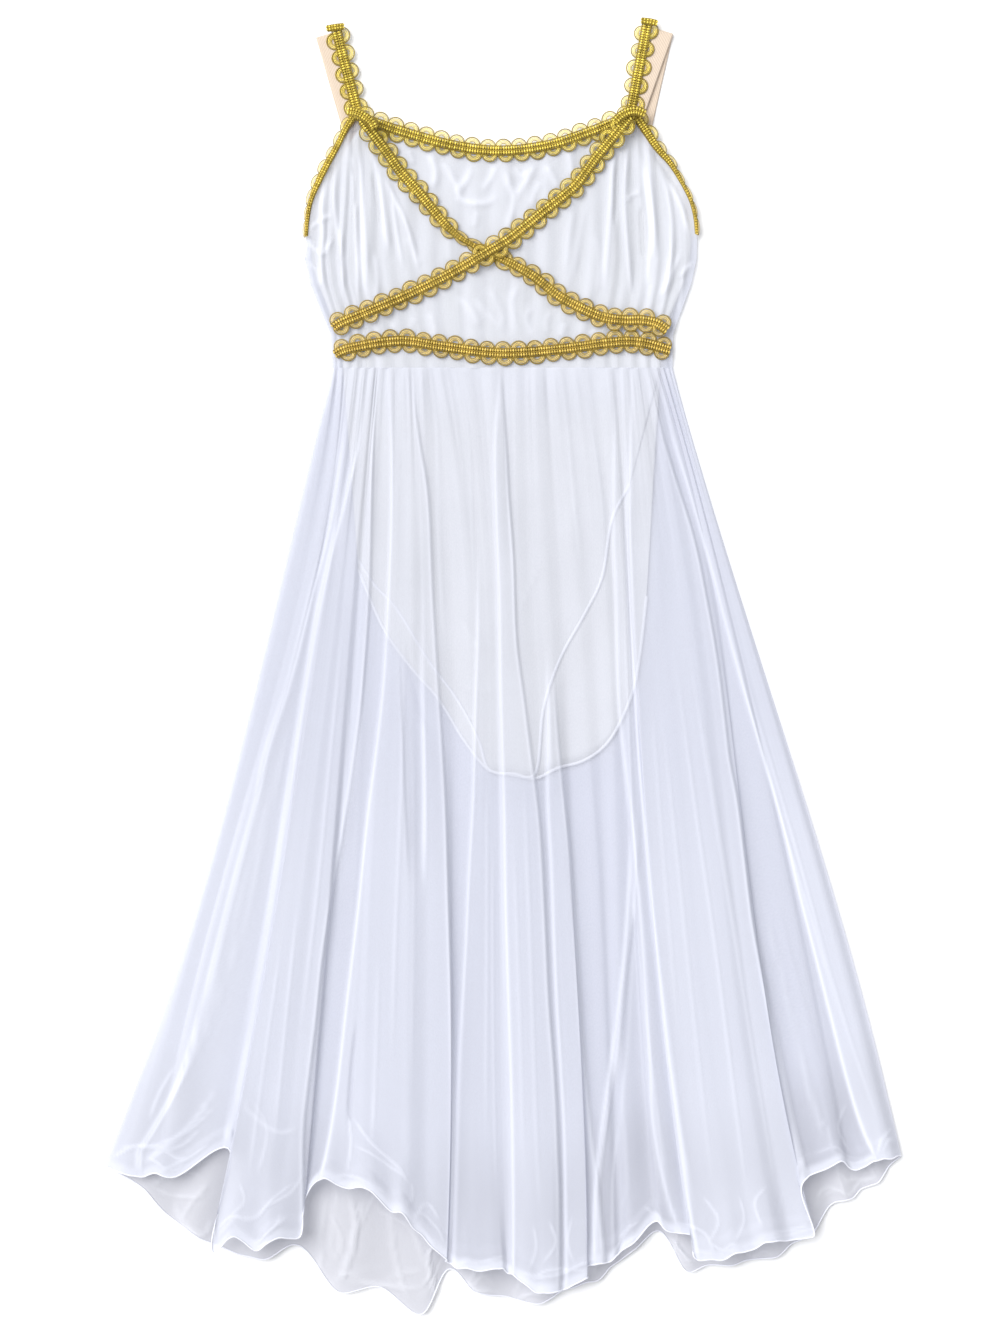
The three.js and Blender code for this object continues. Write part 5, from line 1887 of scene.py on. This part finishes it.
@dataclass
class Bodice:
    """Sheer overlay of the bodice, gathered over the leotard."""

    columns: int = 400
    rows: int = 120
    seed: int = 21
    seat_gap: float = 0.5
    gather_lift: float = 0.5
    arch: Pair = (0.55, 0.45)  # share of a gather's height at its ends, and added midway
    uneven_waves: tuple[Waves, ...] = (Waves(0.6, 0.7, 2.0, 2),)
    fine_waves: tuple[Waves, ...] = (Waves(0.45, 1.6, 2.0, 0), Waves(0.25, 3.4, 3.0, 1))
    broad_waves: tuple[Waves, ...] = (Waves(1.0, 0.8, 1.3, 3), Waves(0.6, 1.5, 1.7, 5))
    fine_lift: float = 0.25
    crease_lift: float = 1.1
    side_columns: float = 2.5

    def front(self, sewing: Sewing, under: Relief) -> Array:
        """Make the front overlay and return its points.

        Args:
            sewing: the finishes and trims.
            under: map of what it rests on.

        Returns:
            The points, rows by columns.
        """
        edge = np.asarray(TOP_EDGE, float)
        top, waist, lift = [edge[0, 0]], [WAIST_LEFT], [0.0]
        last = Gather(edge[-1, 0], WAIST_RIGHT, 0.0)
        for gather, after in zip(BODICE_GATHERS, (*BODICE_GATHERS[1:], last)):
            top += [gather.top, (gather.top + after.top) / 2]
            waist += [gather.waist, (gather.waist + after.waist) / 2]
            lift += [gather.lift, 0.0]
        top = np.array([*top, last.top])
        waist = np.array([*waist, WAIST_RIGHT])
        lift = np.array([*lift, 0.0])
        c = np.linspace(0, len(top) - 1, self.columns)
        v = np.linspace(0, 1, self.rows)
        top_x = through(top, c)
        top_y = np.interp(top_x, edge[:, 0], edge[:, 1])
        x, y = body_points(top_x, top_y, through(waist, c), v, 0.0)
        cc, vv = np.meshgrid(c, v)
        arch = self.arch[0] + self.arch[1] * np.sin(math.pi * vv)
        uneven = 1 + wavy(self.uneven_waves, cc, vv, self.seed)
        folds = self.gather_lift * eased(lift, c)[None, :] * arch * uneven
        fine = wavy(self.fine_waves, cc, vv, self.seed)
        inside = smooth(np.minimum(c, c.max() - c) / self.side_columns)[None, :]
        seat = under.sample(under.eased_top(Level.LEOTARD_FRONT.value, 2, 1), x, y) + self.seat_gap
        pleats = relief_of(BODICE_CREASES, x, y)
        detail = (self.fine_lift * fine + self.crease_lift * pleats) * (0.4 + 0.6 * inside)
        z = np.maximum(seat + folds + detail, seat - 0.2)
        grid = np.stack([x, y, z], axis=2)
        broad = wavy(self.broad_waves, cc, vv, self.seed)
        # painted light and shade, partly the bunched cloth: crease ridges and the crests of the fine waves
        # are painted lighter and denser, troughs darker; the broad waves vary it at random
        dense = 0.30 + 0.34 * np.clip(pleats, -1, 1) + 0.05 * fine + 0.2 * broad
        piece = cloth_object("bodice_front_mesh", grid, Outward.UP, np.clip(dense, 0, 1), (0.40, 0.165))
        dress(piece, sewing.bodice_mesh, Slot.SHEER_MESH, "bodice_front")
        log.info("bodice_front_mesh: %d points, top %.1f mm", grid[..., 0].size, grid[..., 2].max())
        return grid

    def back(self, sewing: Sewing) -> Array:
        """Make the back overlay, flat on the surface, and return its points.

        Args:
            sewing: the finishes and trims.

        Returns:
            The points, rows by columns.
        """
        edge = np.asarray(BACK_EDGE, float)
        waist = np.linspace(WAIST_LEFT, WAIST_RIGHT, 120)
        top_x = mix(edge[0, 0], edge[-1, 0], np.linspace(0, 1, 120))
        top_y = np.interp(top_x, edge[:, 0], edge[:, 1])
        x, y = body_points(top_x, top_y, waist, np.linspace(0, 1, 60), 0.0)
        wave = streaks(x / 7.0 + 40, y / 60.0 + 8, self.seed + 4)
        grid = np.stack([x, y, 0.55 + 0.2 * wave], axis=2)
        piece = cloth_object("bodice_back_mesh", grid, Outward.DOWN, np.full(x.shape, 0.6), (0.30, 0.10))
        dress(piece, sewing.mesh, Slot.SHEER_MESH, "bodice_back")
        log.info("bodice_back_mesh: %d points", x.size)
        return grid


@dataclass
class ElasticStrap:
    """Nude elastic strap: up from the back edge, folded over at the shoulder, down to the join."""

    name: str
    node: str
    join: Pair
    top: Pair
    back: Pair
    width: float = 12.0
    thickness: float = 1.0
    fold_gap: float = 0.7

    def section(self) -> Array:
        """Cross-section with rounded edges: sideways and lift, one row a point.

        Returns:
            The points round the section.
        """
        turn = np.linspace(-math.pi / 2, math.pi / 2, 5)
        half, radius = self.width / 2, self.thickness / 2
        right = np.stack([half - radius + radius * np.cos(turn), radius * np.sin(turn)], axis=1)
        flat = np.linspace(half - radius, radius - half, 9)[1:-1]
        over = np.stack([flat, np.full(len(flat), radius)], axis=1)
        return np.concatenate([right, over, -right, -over])

    def frames(self) -> list[tuple[Array, Array, Array]]:
        """Middle, sideways and up of each ring along the strap.

        Returns:
            One frame for each ring.
        """
        low = self.thickness / 2
        high = low + self.thickness + self.fold_gap
        join, top, back = (np.array([*p, 0.0]) for p in (self.join, self.top, self.back))

        def sideways(start: Array, end: Array) -> Array:
            """Unit vector to the right of a run."""
            run = (end - start) / np.linalg.norm(end - start)
            return np.array([run[1], -run[0], 0.0])

        up_side, down_side = sideways(back, top), sideways(join, top)
        fold_side = (up_side + down_side) / np.linalg.norm(up_side + down_side)
        outward = np.array([-fold_side[1], fold_side[0], 0.0])
        lift = np.array([0.0, 0.0, 1.0])
        radius = (high - low) / 2
        rings = [(back + lift * low, np.array([1.0, 0.0, 0.0]), lift)]
        for t in np.linspace(0.12, 0.93, 22):
            rings.append((mix(back, top, t) + lift * (low + 0.12 * math.sin(7 * t)), up_side, lift))
        for turn in np.linspace(0, math.pi, 11):
            up = lift * math.cos(turn) - outward * math.sin(turn)
            rings.append((top + lift * (low + radius) - up * radius, fold_side, up))
        for t in np.linspace(0.93, 0, 22):
            rings.append((mix(join, top, t) + lift * (high + 0.15 * math.sin(6 * t)), down_side, -lift))
        return rings

    def build(self, sewing: Sewing) -> Array:
        """Make the strap and return its points.

        Args:
            sewing: the finishes and trims.

        Returns:
            The points, ring by ring.
        """
        section = self.section()
        rings = np.array([
            at + section[:, :1] * side + section[:, 1:] * up for at, side, up in self.frames()
        ])
        count, around = rings.shape[:2]
        number = np.arange(count * around).reshape(count, around)
        ahead = np.roll(number, -1, axis=1)
        sides = np.stack([number[:-1], number[1:], ahead[1:], ahead[:-1]], axis=2).reshape(-1, 4)
        piece = mesh_object(self.name, rings.reshape(-1, 3), sides)
        for ring in (number[0], number[-1, ::-1]):
            self._cap(piece, ring)
        across = np.tile(section[:, 0], count) * MM
        along = np.repeat(np.arange(count), around) * 0.006
        set_uv(piece, across, along)
        dress(piece, sewing.elastic, Slot.NUDE_ELASTIC, self.node)
        self.width * MM
        return rings

    @staticmethod
    def _cap(piece: Piece, ring: Array) -> None:
        """Close an open end.

        Args:
            piece: the strap.
            ring: numbers of the end's points.
        """
        work = bmesh.new()
        work.from_mesh(piece.data)
        work.verts.ensure_lookup_table()
        work.faces.new([work.verts[int(k)] for k in ring])
        work.to_mesh(piece.data)
        work.free()


@dataclass
class Braid:
    """One length of scalloped gold braid, sewn over what lies under it."""

    name: str
    node: str
    path: tuple[tuple[float, ...], ...]
    width: float = 1.0
    left_loops: bool = True
    right_loops: bool = True
    seed: int = 1
    core: float = 3.0
    pitch: float = 10.3
    loop: float = 5.0
    thread: float = 0.5
    rib: float = 1.7
    step: float = 1.5
    stagger: float = 2.8
    seat_half: float = 6.5  # half the width that it rests on
    laid_half: float = 7.0
    seat_gap: float = 0.75
    core_top: float = 2.6
    loop_top: float = 1.3
    seat_spread: int = 3  # path steps over which its height is evened

    def build(self, sewing: Sewing, laid: Relief) -> None:
        """Make the braid and add it to the map of what is laid.

        Args:
            sewing: the finishes and trims.
            laid: the map that the braid rests on.
        """
        rough = curve_through(self.path, 200)
        length = np.hypot(*np.diff(rough[:, :2], axis=0).T).sum()
        line = curve_through(self.path, int(length / self.step))
        reach = line[:, 2] * self.width if line.shape[1] > 2 else np.full(len(line), self.width)
        run = np.gradient(line[:, :2], axis=0)
        side = np.stack([-run[:, 1], run[:, 0]], axis=1) / np.linalg.norm(run, axis=1)[:, None]
        grid = laid.eased_top(0.0, 1, 0)
        heights = []
        for share in np.linspace(-1, 1, 7):
            place = line[:, :2] + side * (share * self.seat_half * reach)[:, None]
            heights.append(laid.sample(grid, place[:, 0], place[:, 1]))
        seat = np.max(heights, axis=0)
        for even in (np.max, np.mean):
            wide = np.pad(seat, self.seat_spread, mode="edge")
            seat = even([wide[k : k + len(seat)] for k in range(2 * self.seat_spread + 1)], axis=0)
        points = np.column_stack([line[:, :2], seat + self.seat_gap])
        values = {
            "Finish": sewing.gold, "Core half width": self.core * MM, "Loop pitch": self.pitch * MM,
            "Rib pitch": self.rib * MM, "Loop reach": self.loop * MM, "Thread radius": self.thread * MM,
            "Stagger": self.stagger * MM, "Left loops": self.left_loops, "Right loops": self.right_loops,
            "Seed": self.seed,
        }
        piece = sewing.braid.sew(self.name, points, reach, values)
        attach(piece, BODY)
        if self.node:
            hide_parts(self.node)
        for share in np.linspace(-1, 1, 9):
            place = line[:, :2] + side * (share * self.laid_half * reach)[:, None]
            height = seat + (self.core_top if abs(share) < 0.5 else self.loop_top)
            laid.lay(np.column_stack([place, height]))
        log.info("%s: %.0f mm long, %d faces", self.name, length, len(piece.data.polygons))


BRAIDS = (
    Braid("strap_left_braid", "strap_trim_left", ((-109.9, 420.5), (-102.6, 392), (-95.2, 364)), seed=1),
    Braid("strap_right_braid", "strap_trim_right", ((95.6, 424.8), (90.3, 396), (84.5, 366)), seed=2),
    Braid(
        "armhole_left_braid", "armhole_trim_left",
        (
            (-97, 363, 1.3), (-103, 354, 1), (-109, 342, 1), (-115.2, 330.7, 1.1), (-121.8, 317.5, 1),
            (-126.4, 305.6, 0.7), (-128.6, 293, 0.6), (-129.3, 283, 0.5),
        ),
        width=0.55, left_loops=False, seed=3,
    ),
    Braid(
        "armhole_right_braid", "armhole_trim_right",
        (
            (86.5, 364, 1.3), (94, 353, 1.3), (102, 341, 1.1), (110.6, 331, 0.8), (117.8, 319, 0.5),
            (123.8, 307, 0.45), (126.8, 296, 0.45), (127.9, 284.5, 0.4),
        ),
        width=0.62, right_loops=False, seed=4,
    ),
    Braid(
        "neck_braid", "neck_trim",
        (
            (-96, 362), (-84, 357.7), (-67.7, 352.4), (-34.7, 343.2), (-1.7, 339.2),
            (31.4, 343.2), (57.8, 351.8), (71, 357), (85.5, 362),
        ),
        seed=5,
    ),
    Braid(
        "waist_braid", "waist_trim",
        (
            (-110, 205), (-100.7, 209), (-67.7, 214), (-41, 210.5), (-1, 206), (38, 208.6),
            (73, 213), (90.8, 213), (110, 208),
        ),
        seed=6,
    ),
    Braid(
        "cross_under_braid", "cross_trim_under",
        (
            (-92, 358, 1), (-77.6, 340, 1), (-67.7, 326, 1), (-54.5, 311, 1), (-38, 291, 0.85),
            (-24.8, 280, 0.45), (-8.3, 272, 0.7), (18.2, 258, 0.9), (38, 243, 0.95), (58.4, 232.5, 1),
            (69, 228.8, 1), (81, 227.4, 1), (91.4, 227.5, 1), (101.3, 225.5, 1), (108, 221, 1),
        ),
        seed=7,
    ),
    Braid(
        "cross_over_braid", "cross_trim_over",
        (
            (83, 360), (73, 348), (61.7, 334.6), (51.2, 320), (44.6, 313), (24.8, 297.5),
            (5, 281.5), (-8.3, 273.2), (-34.7, 258), (-61, 245), (-87.5, 233.6), (-106, 226),
            (-111, 222.5),
        ),
        seed=8,
    ),
    Braid(
        "join_left_braid", "",
        ((-101, 364), (-96, 363), (-91, 360.5), (-86, 356.5), (-84, 353)),
        width=0.9, left_loops=False, right_loops=False, seed=9,
    ),
    Braid(
        "join_right_braid", "",
        ((93, 362), (88, 364), (83, 363.5), (78, 361), (74, 357)),
        width=0.9, left_loops=False, right_loops=False, seed=10,
    ),
    Braid(
        "strap_left_end", "", ((-115.5, 419.4), (-110, 420.4), (-104.5, 421)),
        width=0.6, left_loops=False, right_loops=False, seed=11,
    ),
    Braid(
        "strap_right_end", "", ((91.5, 424.6), (96.5, 424.2), (101.5, 423)),
        width=0.6, left_loops=False, right_loops=False, seed=12,
    ),
)
STRAPS = (
    ElasticStrap("strap_left_elastic", "strap_left", (-97.5, 353), (-117, 415), (-84, 300.3)),
    ElasticStrap("strap_right_elastic", "strap_right", (83.5, 353), (106.5, 417.5), (80, 300.3)),
)


@dataclass
class Studio:
    """Pale floor, soft light and a camera straight above the garment."""

    centre: Pair = (-1.65, -0.33)
    view_length: float = 0.8798
    lens: float = 85.0
    sensor: float = 36.0
    floor_half: float = 6.0
    floor_drop: float = 0.3
    key_from: Triple = (-1.1, 0.7, 1.7)
    key_spread: float = 50.0  # degrees
    key_power: float = 3.55
    sky: tuple[float, ...] = (0.97, 0.98, 1.0, 1.0)
    sky_power: float = 0.64

    def build(self) -> None:
        """Set the scene up."""
        self._floor()
        self._camera()
        self._light("key light", self.key_from, self.key_spread, self.key_power)
        world = bpy.data.worlds.new("soft studio")
        world.use_nodes = True
        background = world.node_tree.nodes["Background"]
        background.inputs["Color"].default_value = self.sky
        background.inputs["Strength"].default_value = self.sky_power
        bpy.context.scene.world = world
        bpy.context.scene.view_settings.view_transform = "Standard"
        log.info("studio ready")

    def _floor(self) -> None:
        """Lay the floor just under the garment."""
        half, low = self.floor_half / MM, -self.floor_drop
        corners = np.array([[-half, half, low], [half, half, low], [-half, -half, low], [half, -half, low]])
        floor = mesh_object("floor", corners, grid_faces(2, 2, Outward.UP))
        floor.data.materials.append(FloorFinish("pale floor").material())

    def _camera(self) -> None:
        """Hang the camera over the garment."""
        data = bpy.data.cameras.new("camera")
        data.lens, data.sensor_width = self.lens, self.sensor
        height = self.view_length * self.lens / self.sensor
        camera = bpy.data.objects.new("camera", data)
        camera.location = (self.centre[0] * MM, self.centre[1] * MM, height)
        data.clip_end = 50.0
        bpy.context.scene.collection.objects.link(camera)
        bpy.context.scene.camera = camera

    def _light(self, name: str, place: Triple, spread: float, power: float) -> None:
        """Hang a far, broad light and turn it to the garment; its spread is in degrees.

        Args:
            name: the light's name.
            place: where it shines from.
            spread: its breadth in degrees.
            power: its strength.
        """
        data = bpy.data.lights.new(name, "SUN")
        data.angle, data.energy = math.radians(spread), power
        light = bpy.data.objects.new(name, data)
        light.location = place
        light.rotation_euler = (-Vector(place)).to_track_quat("-Z", "Y").to_euler()
        bpy.context.scene.collection.objects.link(light)


def main() -> None:
    """Build the costume from the surface up, then the studio."""
    logging.basicConfig(level=logging.INFO, format="%(name)s: %(message)s")
    sewing = Sewing()
    Studio().build()
    below = Relief()
    skirt_back = SkirtBack("skirt_back_mesh", "skirt_back", BACK_FOLDS, BACK_CREASES, Outward.DOWN, 380, 150)
    skirt_back.build(sewing, below)
    bodice = Bodice()
    bodice.back(sewing)
    Leotard().build(sewing, below)
    laid = Relief()
    skirt_front = SkirtFront("skirt_front_mesh", "skirt_front", FRONT_FOLDS, SKIRT_CREASES, Outward.UP)
    laid.lay(skirt_front.build(sewing, below))
    laid.lay(bodice.front(sewing, below))
    for strap in STRAPS:
        laid.lay(strap.build(sewing))
    for braid in BRAIDS:
        braid.build(sewing, laid)


if __name__ == "__main__":
    main()
